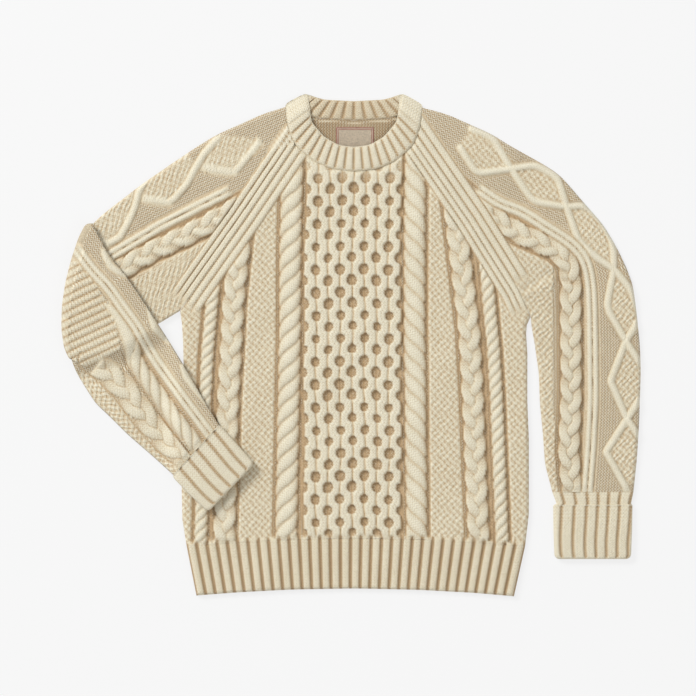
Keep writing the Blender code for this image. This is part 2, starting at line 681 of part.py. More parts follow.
def make_sleeve_left(material):
    """Sleeve at the viewer's left: upper arm, fold at the elbow, forearm on top."""
    seam = shifted(RAGLAN_LEFT, -HALF_GAP)
    start_front = [SHOULDER_LEFT[0], (287.1, 127)] + seam[:-1] + [UNDER_LEFT[0]]
    start_back = [SHOULDER_LEFT[0]] + shifted(RAGLAN_BACK_LEFT, -HALF_GAP)[:-1] + [UNDER_LEFT[0]]
    arm_front = sleeve_plan(start_front, ELBOW, SHOULDER_LEFT, UNDER_LEFT, 8)
    arm_back = sleeve_plan(start_back, ELBOW, SHOULDER_LEFT, UNDER_LEFT, 8)
    fade = np.ones(arm_front.shape[:2])
    fade[:len(BAND_STEPS)] = 0
    fade[-2:] = 0
    relief = raised(arm_front, LEFT_LINES) * fade + band_relief(arm_front)
    front_high, _, front_inner, _ = plies(arm_front, relief)
    _, back_low, _, back_inner = plies(arm_back, 0)
    side = SIDE_COLUMNS
    share = np.broadcast_to(np.linspace(0, 1, 15)[1:, None], (14, len(side)))
    across = np.broadcast_to(side, share.shape)
    fore = patch(ELBOW, CUFF_LINE_LEFT, FOREARM_UPPER, FOREARM_LOWER, share, across)
    lift = lying_height(fore)
    relief = raised(fore, FOREARM_LINES)
    relief[:1] = 0
    fore_heights = plies(fore, 0)
    axis = at(ELBOW, side)
    along = np.gradient(axis, axis=0)
    along /= np.hypot(along[:, 0], along[:, 1])[:, None]
    outward = np.stack([-along[:, 1], along[:, 0]], -1)
    spread = np.interp(side, [0, 0.15, 0.85, 1], [-1, 0, 0, 1]) * 0.8
    outward += along * spread[:, None]
    outward /= np.hypot(outward[:, 0], outward[:, 1])[:, None]
    angles = np.radians([30, 60, 90, 120, 150, 180])
    grids = []
    for arm, levels, k, inner in (
        (arm_front, front_high, 0, False), (arm_back, back_low, 1, False),
        (arm_front, front_inner, 2, True), (arm_back, back_inner, 3, True),
    ):
        plan = pulled_in(arm, side) if inner else arm
        edge = plan[-1]
        local = levels[-1]
        radius = (FOLD_MIDDLE - local) * MM / STEP
        turn_plan = edge[None] + outward[None] * (radius[None] * np.sin(angles)[:, None])[..., None]
        turn_high = FOLD_MIDDLE - (FOLD_MIDDLE - local)[None] * np.cos(angles)[:, None]
        rest_plan = pulled_in(fore, side) if inner else fore
        rest_high = lift + GROUND - fore_heights[k]
        if k == 1:
            rest_high = rest_high + relief * crown(side_depth(fore))
        grids.append(np.concatenate([
            place(plan, levels), place(turn_plan, turn_high), place(rest_plan, rest_high),
        ]))
    tube("sleeve_left", *grids, material)


def make_cuff(name, edges, lying, material):
    """Turned-back cuff: one ply at the sleeve, two plies after the step."""
    ribs = 2 * CUFF_RIBS
    side = np.concatenate([[0, 0.03], np.linspace(0, 1, ribs + 1)[1:-1], [0.97, 1]])
    first, last = (np.asarray(e, float) for e in edges)
    plan = first[:, None] + (last - first)[:, None] * side[None, :, None]
    crest = np.concatenate([[0, 0.3], np.tile([1.0, 0.0], ribs)[:ribs - 1], [0.3, 0]]) * CUFF_RIB
    high = crown(side_depth(plan))
    double = np.array(CUFF_PLY)[:, None]
    middle = SEAM + double
    lift = lying_height(plan) if lying else np.zeros(plan.shape[:2])
    top = GROUND - 1 + CUFF_PLY_RISE * double + crest * double
    top[-1] = middle[-1] + CUFF_LIP
    front = middle + (top - middle) * high
    back = middle * (1 - high)
    end = np.zeros(plan.shape[:2])
    end[:, 0] = end[:, -1] = 1
    front_inner = middle + np.where(end > 0, 0, CUFF_WALL)
    back_inner = middle - np.where(end > 0, 0, CUFF_WALL)
    inner = pulled_in(plan, side)
    tube(name, place(plan, lift + front), place(plan, lift + back),
         place(inner, lift + front_inner), place(inner, lift + back_inner), material)


def make_label(material):
    """Bare woven label on the inside of the back."""
    prism("neck_label", LABEL_CORNERS, BACK_TOP + LABEL_GAP, BACK_TOP + LABEL_TOP, material)


def wool(name):
    """The wool of one piece."""
    return paint(name, CREAM, WOOL_ROUGHNESS)


make_front(wool("front_wool"))
make_back(wool("back_wool"))
make_hems(wool("hem_front_wool"), wool("hem_back_wool"))
make_neck(wool("neck_wool"))
make_sleeve_right(wool("sleeve_right_wool"))
make_sleeve_left(wool("sleeve_left_wool"))
make_cuff("cuff_right", CUFF_RIGHT, False, wool("cuff_right_wool"))
make_cuff("cuff_left", CUFF_LEFT, True, wool("cuff_left_wool"))
make_label(paint("label_weave", LABEL_CREAM, LABEL_ROUGHNESS))
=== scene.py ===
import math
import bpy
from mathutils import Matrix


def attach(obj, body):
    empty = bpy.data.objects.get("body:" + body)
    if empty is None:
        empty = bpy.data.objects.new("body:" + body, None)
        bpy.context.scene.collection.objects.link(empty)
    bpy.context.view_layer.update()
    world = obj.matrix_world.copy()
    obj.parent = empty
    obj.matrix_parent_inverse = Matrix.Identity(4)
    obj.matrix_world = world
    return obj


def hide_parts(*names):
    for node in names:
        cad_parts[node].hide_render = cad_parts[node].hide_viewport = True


bl_info = {
    "name": "Cable Knit Sweater",
    "version": (1, 0, 0),
    "blender": (4, 5, 0),
    "location": "View3D > Sidebar > Sweater",
    "description": "Dresses the packed sweater in cable knit wool",
    "category": "Object",
}

import bmesh
import bpy
import numpy as np
from mathutils import Vector

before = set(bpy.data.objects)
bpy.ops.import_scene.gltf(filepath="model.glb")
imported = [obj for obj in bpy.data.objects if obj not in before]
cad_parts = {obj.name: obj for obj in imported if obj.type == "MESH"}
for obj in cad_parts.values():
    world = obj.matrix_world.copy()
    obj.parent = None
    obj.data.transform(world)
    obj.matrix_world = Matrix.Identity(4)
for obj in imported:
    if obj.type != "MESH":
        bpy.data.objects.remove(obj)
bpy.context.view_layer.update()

# Plan points are (across, down) in steps of 1.36 mm, counted from the upper left.
STEP = 0.00136
MIDDLE = (351.172, 345.191)
MM = 0.001

# The view from above: its width in steps, then metres up to the camera and to the motifs' tops.
VIEW_WIDE = 696
CAMERA_HIGH = 6.0
CLOTH_HIGH = 0.006
SENSOR_MM = 36.0

# The floor's half width and gap under the cloth, the share of its white that takes shadows, its glow and
# the light of the sky; then each lamp's name, place, size in metres and watts.
FLOOR_REACH = 4.0
FLOOR_GAP = 0.0005
FLOOR_SHARE = 0.15
FLOOR_GLOW = 0.826
SKY = 0.56
LAMPS = [("key", (-5.0, 4.4, 5.2), 2.6, 560), ("fill", (4.6, -3.6, 6.5), 5.0, 110)]

# Heights over the floor in millimetres, as in the solids: the back's upper side, the inside of an upper
# wall, side folds, plain knitting on the front, where the forearm lies, and the middle of its fold.
BACK_TOP = 3.0
FRONT_BASE = 4.0
SEAM = 3.5
GROUND = 7.2
REST = 12.3
FOLD_MIDDLE = (GROUND + REST) / 2

# Millimetres beyond an edge within which cloth that lies over it comes down to the floor.
FALL = 30.0

# Millimetres in from a fold: where a wall is fully thick, where its relief is full, and the wall itself.
EDGE_ROUND = 6.5
EDGE_FADE = 5.0
SIDE_WALL = 3.4

# Edges that turn more than this are shaded as corners.
RIM_ANGLE = math.radians(75)

# Seams show no gap: half of the hair's breadth between two pieces, in steps.
HALF_GAP = 0.02

# Neck band edges: where it is sewn on and its folded top.
NECK_SEAM_FRONT = [
    (285.6, 106.6), (287.5, 127), (295, 145), (313, 161), (332, 169), (354, 171.6),
    (376, 169.3), (395, 161.5), (413, 145.5), (420.5, 127), (422.4, 107.6),
]
NECK_TOP_FRONT = [
    (308, 95), (310, 108), (311.5, 122), (324.5, 137), (338.6, 145), (354, 147),
    (369.5, 145), (383.5, 137), (396.5, 122), (398.5, 108), (400, 95),
]
NECK_SEAM_BACK = [
    (285.6, 106.6), (300, 114), (320, 118.5), (354, 120.5), (388, 118.5), (408, 114), (422.4, 107.6),
]
NECK_TOP_BACK = [(308, 95), (325, 99.5), (354, 101), (383, 99.5), (400, 95)]

# Raglan seams, neck to underarm, on the front and on the back.
RAGLAN_LEFT = [(294.8, 144.5), (245, 218), (194, 290), (180, 311)]
RAGLAN_RIGHT = [(416.8, 136.2), (473, 218), (518, 290), (530.5, 317)]
RAGLAN_BACK_LEFT = [(300, 114), (245, 207), (194, 289), (180, 311)]
RAGLAN_BACK_RIGHT = [(408, 114), (470, 207), (518, 289), (530.5, 317)]
# Shares across a sleeve where the corners of its first line lie, on the front and on the back.
FRONT_KEYS = [0, 0.08, 0.14, 0.525, 0.885, 1]
BACK_KEYS = [0, 0.1, 0.5, 0.9, 1]

# Body sides and hem.
SIDE_LEFT = [
    (180, 311), (182, 324), (183.2, 345), (183.5, 365),
    (182, 420), (181.5, 484), (182.4, 520), (186.6, 546),
]
SIDE_RIGHT = [
    (530.5, 317), (527, 325), (526.2, 334), (527.5, 354),
    (527.4, 400), (529, 440), (529, 514), (525.2, 546),
]
HEM_TOP = [
    (186.6, 546), (230, 543), (290, 539.6), (355, 538.4), (420, 539.6), (480, 543), (525.2, 546),
]
HEM_END = [
    (196.4, 595.6), (240, 592.3), (290, 589.7), (355, 588.5), (420, 590), (475, 593), (514, 596.4),
]

# Sleeve edges, from the neck or the underarm to the cuff.
SHOULDER_LEFT = [
    (285.5, 106.9), (263, 113.8), (241, 123.8), (218, 134), (201, 144), (171, 164),
    (142, 184), (116, 204), (103, 214), (93, 223.5),
]
UNDER_LEFT = [(179.6, 311), (159, 323.5), (118, 345), (76.5, 357.5)]
ELBOW = [
    (93, 223.5), (85, 241), (78, 262), (72.5, 284), (69.2, 306), (68.6, 328), (71, 346), (76.5, 357.5),
]
FOREARM_UPPER = [
    (93, 223.5), (108, 253), (126, 275), (142, 298), (159, 325), (184, 365), (203, 398), (219, 424.5),
]
FOREARM_LOWER = [
    (76.5, 357.5), (74.5, 369), (83, 384), (96, 404), (107, 414), (127, 434), (150, 454), (173.4, 474.8),
]
CUFF_LINE_LEFT = [(219, 424.5), (173.4, 474.8)]
SHOULDER_RIGHT = [
    (422.5, 107.7), (447, 114), (469, 124), (492, 134), (507, 144), (525, 154), (543, 164), (559, 174),
    (568, 184), (585, 204), (603, 224), (615, 244), (625, 264), (633, 284), (636.5, 310), (640, 344),
    (641, 370), (640, 400), (639, 430), (637, 460), (633.6, 492),
]
UNDER_RIGHT = [
    (530.9, 317), (531.3, 325), (534.8, 344), (539, 374), (540, 404), (543, 434), (545, 464), (552.4, 492),
]
CUFF_LINE_RIGHT = [(633.6, 492), (552.4, 492)]
TURN_RIGHT = [(585, 204), (581, 217), (564, 262), (541, 308), (531.1, 321)]
TURN_AT = 9

# Turned-back cuffs: both sides, sleeve end first, and the share across of each valley.
CUFF_RIGHT = (
    [(633.6, 492.03), (631.2, 503.5), (632.6, 505.5), (632.2, 530), (631.2, 555), (630.9, 559)],
    [(552.4, 492.03), (556.6, 503.5), (553.2, 505.5), (553.5, 530), (554.4, 555), (554.6, 559)],
)
CUFF_RIGHT_VALLEYS = [0.035, 0.175, 0.315, 0.45, 0.59, 0.745, 0.905]
CUFF_LEFT = (
    [(219.03, 424.53), (220.8, 425.6), (222.6, 427.4), (237, 443.4), (252.3, 460.6), (254.6, 463.5)],
    [(173.43, 474.83), (173.4, 476.6), (174.6, 478.8), (190, 494.6), (206, 509.5), (208.5, 511.6)],
)
CUFF_LEFT_VALLEYS = [0.135, 0.30, 0.49, 0.666, 0.847]

# Shares along a cuff of the points above, and its rows as (first share, last share, count).
CUFF_KEYS = [0, 0.16, 0.2, 0.5, 0.94, 1.0]
CUFF_ROWS = [(0, 0.15, 10), (0.16, 0.22, 8), (0.24, 0.9, 44), (0.92, 1, 8)]
CUFF_CORNER = 4.0

NECK_MIDDLE = 354
LABEL_CORNERS = [(336, 127), (374, 127), (374, 150.5), (336, 150.5)]

# Honeycomb: heights and places of its two edges, and its cells.
COMB_LEFT = ((150, 190, 300, 540), (306.8, 306.0, 303.8, 303.8))
COMB_RIGHT = ((150, 190, 300, 540), (403.4, 400.8, 400.6, 401.4))
COMB_COLUMNS = 8
COMB_ROW = 177.5
COMB_DOWN = 22.95
COMB_OPEN = (4.3, 5.0)

# Cables of the front: (kind, centre line, width, length of one cross, start, lean).
# A lean of 1 rises to the right and -1 to the left.
FRONT_CABLES = [
    ("rope", [(293.0, 150), (290.3, 250), (290.0, 330), (286.0, 540)], 22.0, 17.2, 8.0, 1),
    ("rope", [(415.6, 150), (414.8, 200), (414.6, 330), (416.8, 540)], 21.4, 17.2, 12.0, -1),
    ("braid", [(240.0, 240), (233.5, 300), (231.0, 350), (228.0, 400), (224.0, 540)], 22.0, 22.0, 6.0, 0),
    ("braid", [(457.0, 230), (469.0, 330), (472.0, 380), (475.5, 465), (478.5, 540)], 22.0, 22.0, 0.0, 0),
    ("rope", [(214.0, 280), (207.6, 350), (205.0, 400), (200.5, 540)], 13.0, 10.9, 0.0, 1),
    ("rope", [(486.0, 270), (493.5, 350), (496.5, 400), (502.0, 540)], 13.4, 10.9, 4.0, 1),
]

# Ribs along the raglan seams: place of each valley to the right of the seam, and its depth; then how
# far down the seam they end on each piece, and the run in which they fade.
BAND_VALLEYS = [(-17.5, 0.7), (-11.3, 1.0), (-5.4, 0.7), (1.3, 1.0), (8.7, 0.9), (16.5, 0.9)]
BAND_ENDS = {"body_left": 203.0, "body_right": 212.0, "sleeve_left": 198.0, "sleeve_right": 186.0}
BAND_FADE = 18.0

# Right sleeve, from the shoulder down.
TWINS_RIGHT = [
    (479, 189), (500, 204), (522, 211), (549, 229), (568, 240.5), (581, 252), (588, 266),
    (591, 285), (592, 310), (592.6, 350), (593, 400), (590.5, 450), (587.5, 488),
]
BRAID_RIGHT = [
    (489, 213), (504, 225), (527, 237), (552, 247.5), (566, 258), (571, 275), (570.5, 300),
    (571, 350), (571, 400), (568.5, 450), (572, 492),
]
DIAMONDS_RIGHT_NEAR = [
    (459, 146), (476.6, 173.5), (511, 169), (535, 165), (557, 177), (564.6, 200), (567, 208), (579, 242),
    (600, 260), (614, 269), (631, 290), (639, 312), (641, 330),
]
DIAMONDS_RIGHT_FAR = [
    (470, 128), (492, 137), (511, 169), (532.7, 201), (566, 207), (585, 205), (604, 224), (613, 243),
    (614, 269), (606.6, 307.4), (626, 341), (641, 365),
]
DIAMONDS_RIGHT_LOW = [(640, 318), (626, 341), (610.5, 381), (627, 419), (641, 440)]
DIAMONDS_RIGHT_END = [(641, 397), (627, 419), (606, 452), (625.5, 487), (627, 492)]
MOSS_RIGHT = [
    [(476.6, 173.5), (459, 146), (470, 128), (492, 137), (511, 169)],
    [(511, 169), (535, 165), (557, 177), (566, 207), (532.7, 201)],
    [(566, 207), (585, 205), (604, 224), (614, 269), (579, 242)],
    [(614, 269), (641, 300), (641, 330), (626, 341), (606.6, 307.4)],
    [(626, 341), (645, 365), (645, 400), (627, 419), (610.5, 381)],
    [(627, 419), (645, 440), (640, 480), (625.5, 487), (606, 452)],
]

# Left sleeve, from the shoulder to the elbow, then the forearm that is folded over it.
TWINS_LEFT = [(229, 191), (200, 205.5), (160, 226), (100, 262)]
BRAID_LEFT = [(218, 218), (200, 228), (176, 240), (152, 251), (128, 265), (110, 275)]
STRANDS_LEFT = [
    ([(235, 172), (213, 169), (203, 166)], 9.0, 0.3),
    ([(171, 202), (157, 200), (143, 198)], 9.0, 0.3),
    ([(109, 244), (101, 240), (94, 235)], 8.0, 0.3),
    ([(260, 141), (249, 155), (241, 165), (235, 172)], 7.5, 0.8),
    ([(219, 137), (204, 154), (195, 169), (187, 184), (175, 198), (170, 202)], 7.5, 1.0),
    ([(147, 177), (139, 192), (135, 207), (129, 221), (120, 237), (108, 244)], 7.5, 1.0),
]
MOSS_LEFT = [
    [(219, 135), (262, 139), (238, 170), (205, 165), (198, 166)],
    [(147, 177), (185, 150), (198, 166), (172.5, 200), (140, 197)],
    [(96, 220), (126, 192), (138.5, 194), (131, 218), (109, 244), (92, 244)],
]
TWINS_FOREARM = [
    (77, 249), (93, 270.4), (109, 287), (126.6, 312), (138, 327.3), (145.7, 341.7), (151.5, 353.2),
    (166.8, 376), (187, 403), (205, 427), (211, 435),
]
RIB_FOREARM = [(105, 300.5), (117, 315), (124, 326.5), (128.5, 336), (131.5, 347), (133.5, 361)]
ROPE_FOREARM = [
    (131.5, 346), (135, 361), (142, 371.5), (152, 385.7), (162.5, 400), (172.7, 415.4), (184, 429),
    (191, 438),
]
BRAID_FOREARM = [(92, 360), (106, 371), (122, 386), (135.5, 404.5), (151.5, 424.5), (165, 440), (176, 450)]
FOLD_STRANDS = [
    [(104, 250), (107, 259), (112, 267), (119, 272), (127, 275)],
    [(150, 309), (152.5, 320), (155.5, 329), (162, 335.5), (169, 341)],
    [(183, 365), (186.5, 377), (194, 387), (201, 395), (206, 401)],
]
ELBOW_PATCH = [
    (60, 262), (80, 260), (103, 295), (116, 318), (121, 349), (87, 368), (62, 354), (52, 318),
]
ELBOW_PITCH = 7.4
ELBOW_SLOPE = math.radians(25)

HEM_RIBS = 33
HEM_LONG_MM = 68.0
NECK_RIBS = (22, 12)
STITCHES_IN_RIB = 3

# Painted shade of each motif: how light it is in its hollows, and how much lighter on its crests.
SHADES = {
    "rope": (0.24, 0.53), "braid": (0.25, 0.47), "comb": (0.22, 0.53), "moss": (0.31, 0.58),
    "band": (0.33, 0.42), "twins": (0.4, 0.37), "elbow": (0.22, 0.52), "forearm_rib": (0.48, 0.27),
    "rib": (0.12, 0.52), "neck": (0.26, 0.48), "cuff": (0.22, 0.49),
}
# How light plain knitting is: the body, each part of the sleeves, the inside and the purl by a cable; the
# inside and the purl by a cable are painted dark as shade.
PLAIN = {"body": 0.6, "right": 0.46, "left": 0.47, "forearm": 0.48, "inside": 0.09, "channel": 0.19}
UNSEEN = 0.3

# Uneven hands: slow waves as (reach in steps, rate across, rate down, start).
COMB_WANDER = [(0.7, 0, 0.052, 0.6), (0.35, 0.13, 0.27, 0)], [(0.8, 0.09, 0, 1.0), (0.5, 0.29, 0, 0)]
MOSS_WANDER = [(0.7, 0, 0.21, 0), (0.6, 0.31, 0.53, 0)], [(0.8, 0.19, 0, 1.0), (0.5, 0.61, -0.23, 0)]


def length(name, description, default, top):
    """A length in metres that a user may change."""
    return bpy.props.FloatProperty(
        name=name, description=description, default=default, min=0.0, max=top, unit="LENGTH")


def colour(name, description, default):
    """A colour that a user may change."""
    return bpy.props.FloatVectorProperty(
        name=name, description=description, default=default, min=0.0, max=1.0, subtype="COLOR")


class SweaterSizes(bpy.types.PropertyGroup):
    """Sizes of the knitting."""

    cable_height: length("Cable height", "How far ropes and braids stand over the ground", 0.0048, 0.008)
    comb_height: length("Honeycomb height", "How far the honeycomb stands over the ground", 0.0042, 0.008)
    strand_height: length("Strand height", "How far the diamonds and twin ribs stand out", 0.0032, 0.006)
    rib_height: length("Rib height", "Depth of the valleys between ribs", 0.0030, 0.006)
    moss_height: length("Moss height", "How far the beads of the moss stitch stand out", 0.0020, 0.004)
    groove_depth: length("Groove depth", "How far the purl channels beside a cable sink in", 0.0013, 0.003)
    unevenness: length("Unevenness", "Slow rise and fall of cloth that lies loose", 0.0006, 0.002)
    stitch_width: length("Stitch width", "Width of one stitch", 0.0040, 0.008)
    stitch_length: length("Stitch length", "Height of one row of stitches", 0.0039, 0.008)
    stitch_depth: length("Stitch depth", "Relief of single stitches in the surface", 0.0007, 0.002)


class SweaterColours(bpy.types.PropertyGroup):
    """Colours of the wool and of the painted shade in its hollows, the label and the studio floor."""

    crest: colour("Wool on crests", "Colour of the yarn where it stands out", (0.80, 0.75, 0.60))
    wool: colour("Wool", "Colour of the plain knitting", (0.69, 0.615, 0.45))
    # Painted shade: this colour stands in for the shade deep between stitches and in hollows, not for a
    # darker yarn.
    hollow_shade: colour("Wool in hollows", "Colour of the yarn deep between stitches", (0.47, 0.325, 0.18))
    label_cloth: colour("Label cloth", "Colour of the woven label", (0.70, 0.58, 0.43))
    label_thread: colour("Label thread", "Colour of the border woven into the label", (0.42, 0.06, 0.05))
    paper: colour("Floor", "Colour of the studio floor", (0.93, 0.93, 0.93))


def sizes():
    """Sizes that the panel shows."""
    return bpy.context.scene.sweater_sizes


def colours():
    """Colours that the panel shows."""
    return bpy.context.scene.sweater_colours


def smooth(share):
    """A share from 0 to 1 that eases in and out."""
    share = np.clip(share, 0, 1)
    return share * share * (3 - 2 * share)


def shade(motif, rise):
    """How light a motif is at a share of its height."""
    low, gain = SHADES[motif]
    return low + gain * rise


def wander(x, y, waves):
    """Sum of slow waves, in steps."""
    return sum(reach * np.sin(across * x + down * y + start) for reach, across, down, start in waves)


def stitch_size():
    """Width and length of one stitch in steps."""
    return sizes().stitch_width / STEP, sizes().stitch_length / STEP


def round_top(offset, power=2.4):
    """Height share of a rounded strand at an offset from its middle, 1 at its edges."""
    return np.sqrt(np.clip(1 - np.abs(offset) ** power, 0, 1))


def soft_top(offset):
    """Height share of a flat strand: level in its middle, sloping to nothing at its edges."""
    return np.clip(1 - offset**2, 0, 1) ** 0.7


def crown(depth, width=EDGE_ROUND):
    """Share of full height at a distance in millimetres in from a side fold."""
    reach = np.clip(depth / width, 0, 1)
    return np.sqrt(1 - (1 - reach) ** 2)


def at(points, share):
    """Plan points at shares of the length of a line."""
    line = np.asarray(points, float)
    leg = np.hypot(np.diff(line[:, 0]), np.diff(line[:, 1]))
    run = np.concatenate([[0.0], np.cumsum(leg)]) / leg.sum()
    return np.stack([np.interp(share, run, line[:, k]) for k in (0, 1)], -1)


def eased(points, passes, count=65):
    """The same line with its corners rounded and its ends kept."""
    line = at(points, np.linspace(0, 1, count))
    for _ in range(passes):
        line[1:-1] = (line[:-2] + 2 * line[1:-1] + line[2:]) / 4
    return line


def keyed(points, keys, share):
    """Plan points of a line whose corners are at given shares."""
    line = np.asarray(points, float)
    return np.stack([np.interp(share, keys, line[:, k]) for k in (0, 1)], -1)


def crossing(points, side):
    """Points of a line across a sleeve; its corners keep to given columns."""
    keys = {len(FRONT_KEYS): FRONT_KEYS, len(BACK_KEYS): BACK_KEYS}.get(len(points))
    return at(points, side) if keys is None else keyed(points, keys, side)


def patch(start, end, upper, lower, along, across):
    """Plan points inside four edge lines, a row for each share along and a column for each across."""
    share, side = np.meshgrid(along, across, indexing="ij")
    a = crossing(start, side)
    b = crossing(end, side)
    c = at(upper, share)
    d = at(lower, share)
    p00, p01 = np.asarray(start[0], float), np.asarray(start[-1], float)
    p10, p11 = np.asarray(end[0], float), np.asarray(end[-1], float)
    t = share[..., None]
    v = side[..., None]
    corners = (1 - t) * (1 - v) * p00 + (1 - t) * v * p01 + t * (1 - v) * p10 + t * v * p11
    return (1 - t) * a + t * b + (1 - v) * c + v * d - corners


def shifted(points, across):
    """A line moved sideways in plan."""
    return [(x + across, y) for x, y in points]


def place(plan, height):
    """Plan steps and millimetres of height to points in metres."""
    out = np.empty(plan.shape[:-1] + (3,))
    out[..., 0] = (plan[..., 0] - MIDDLE[0]) * STEP
    out[..., 1] = (MIDDLE[1] - plan[..., 1]) * STEP
    out[..., 2] = height * MM
    return out


def beside(plan, line, beyond=0.0):
    """Distance to the right of a line that runs down the page, and the run along it, in steps."""
    line = np.asarray(line, float)
    start = 0.0
    if beyond:
        first, last = line[0] - line[1], line[-1] - line[-2]
        ahead = line[0] + first / math.hypot(*first) * beyond
        after = line[-1] + last / math.hypot(*last) * beyond
        line = np.concatenate([[ahead], line, [after]])
        start = -beyond
    best = np.full(plan.shape[:-1], 1e9)
    side = np.zeros(plan.shape[:-1])
    run = np.zeros(plan.shape[:-1])
    for a, b in zip(line[:-1], line[1:]):
        leg = b - a
        size = math.hypot(*leg)
        along = np.clip(((plan - a) @ leg) / size**2, 0, 1)
        off = plan - (a + along[..., None] * leg)
        far = np.hypot(off[..., 0], off[..., 1])
        closer = far < best
        best = np.where(closer, far, best)
        side = np.where(closer, np.sign(leg[1] * off[..., 0] - leg[0] * off[..., 1]), side)
        run = np.where(closer, start + along * size, run)
        start += size
    return best * side, run


def inside(plan, polygon):
    """True where plan points are inside a polygon."""
    hit = np.zeros(plan.shape[:-1], bool)
    x, y = plan[..., 0], plan[..., 1]
    closed = list(polygon)
    for (ax, ay), (bx, by) in zip(closed, closed[1:] + closed[:1]):
        if ay == by:
            continue
        crosses = (ay > y) != (by > y)
        hit ^= crosses & (x < (bx - ax) * (y - ay) / (by - ay) + ax)
    return hit


def blurred(values, reach=2):
    """Mean over a square of grid cells."""
    for axis in (0, 1):
        edge = [(0, 0), (0, 0)]
        edge[axis] = (reach, reach)
        wide = np.pad(values, edge, mode="edge")
        count = values.shape[axis]
        spans = [np.take(wide, range(k, k + count), axis) for k in range(2 * reach + 1)]
        values = sum(spans) / len(spans)
    return values


class Knit:
    """A stretch of knitting: its relief in millimetres, how light it is with painted shade in its hollows,
    and where its stitches are.
    """

    def __init__(self, plan, light, along=None):
        self.plan = plan
        self.x, self.y = plan[..., 0], plan[..., 1]
        self.wide, self.long = stitch_size()
        self.groove = sizes().groove_depth / MM
        self.height = np.zeros(self.x.shape)
        self.light = np.full(self.x.shape, light)
        across, run = (self.x, self.y) if along is None else beside(plan, along, 150)
        self.stitch = np.stack([run / self.long, across / self.wide, np.ones(self.x.shape)], -1)

    def lay(self, weight, height, light, across=None, along=None, show=0.6):
        """Put one motif where the weight is 1; across and along are steps on its own yarn.

        Its stitches stand out by the share show.
        """
        weight = np.asarray(weight, float)
        self.height = self.height + weight * (height - self.height)
        self.light = self.light + weight * (light - self.light)
        own = self.stitch.copy()
        own[..., 2] = show
        if across is not None:
            own[..., 0] = across / self.wide
            own[..., 1] = along / self.long
        self.stitch = np.where((weight > 0.5)[..., None], own, self.stitch)

    def settle(self):
        """Paint shade on what lies low, hide stitches where motifs meet, and let the cloth rise and fall."""
        for stitch in (self.stitch, self.stitch.transpose(1, 0, 2)):
            turn = np.abs(np.diff(stitch[..., :2], axis=0)).max(-1) > 1.3
            stitch[1:, :, 2] *= ~turn
            stitch[:-1, :, 2] *= ~turn
        # Painted shade: points lower than their surroundings are made darker.
        hollow_shade = self.height - blurred(self.height)
        self.light = np.clip(self.light + 0.07 * hollow_shade, 0.05, 1)
        slow = np.sin(self.x * 0.043 + 1.3) * np.sin(self.y * 0.037 + 0.4)
        quick = np.sin(self.x * 0.11 + self.y * 0.07 + 2.0) * 0.4
        self.height = self.height + (slow + quick) * sizes().unevenness / MM
        return self


def near_line(across, reach, soft=1.6):
    """Weight of a strip beside a line, with soft edges."""
    return smooth((reach - np.abs(across)) / soft)


def channel(knit, line, width):
    """Sunken purl on both sides of a cable, painted dark as shade."""
    across, run = beside(knit.plan, line, 40)
    beyond = 4.2
    knit.lay(near_line(across, width / 2 + beyond), -knit.groove, PLAIN["channel"], run, across, 1.0)


def rope(knit, line, width, cross, start, lean, slant=0.48, first=-9):
    """Two strands twisted about each other along a line, from a first crossing on."""
    height = sizes().cable_height / MM
    across, run = beside(knit.plan, line, 40)
    bend, pinch, valley = 0.27, 0.16, 0.2
    u = np.clip(across / (width / 2), -1, 1)
    turn = (run + start) / cross + lean * (slant * u + bend * u**3)
    f = turn - np.floor(turn) - 0.5
    edge = u / (1 - pinch * np.abs(2 * f) ** 3)
    rise = round_top(edge) * (valley + (1 - valley) * round_top(1.96 * f, 2.2))
    own = f * cross * 0.6
    along = across * 0.8 * lean - run * 0.6
    where = (turn > first) & (np.abs(edge) < 1) & (np.abs(across) < width / 2)
    knit.lay(where, height * rise, shade("rope", rise), own, along)


def braid(knit, line, width, cross, start, first=-40):
    """Three strands plaited along a line, each diving under as it comes back to the middle."""
    height = sizes().cable_height / MM
    across, run = beside(knit.plan, line, 40)
    reach, thick = width * 0.27, width * 0.235
    tops, places = [], []
    for k in range(3):
        t = 2 * math.pi * ((run + start) / (3 * cross) + k / 3)
        slope = reach * 2 * math.pi / (3 * cross) * np.cos(t)
        off = (across - reach * np.sin(t)) / np.sqrt(1 + slope**2) / thick
        over = 0.26 - 0.26 * np.sin(2 * t) + 0.55 * round_top(off, 2.2)
        tops.append(np.where(np.abs(off) < 1, over, -1.0))
        places.append(off * thick)
    order = np.argsort(tops, axis=0)
    best = np.take_along_axis(np.array(tops), order[2:], 0)[0]
    second = np.take_along_axis(np.array(tops), order[1:2], 0)[0]
    own = np.take_along_axis(np.array(places), order[2:], 0)[0]
    # Painted shade: the light drops where one strand meets the next.
    meet = np.exp(-(((best - second) / 0.07) ** 2)) * (second > -0.5)
    rise = np.clip(best / 1.07, 0, 1) * (1 - 0.28 * meet)
    where = smooth((run - first) / 8) * (best > 0)
    knit.lay(where, height * rise, shade("braid", rise) - 0.17 * meet, own, run)


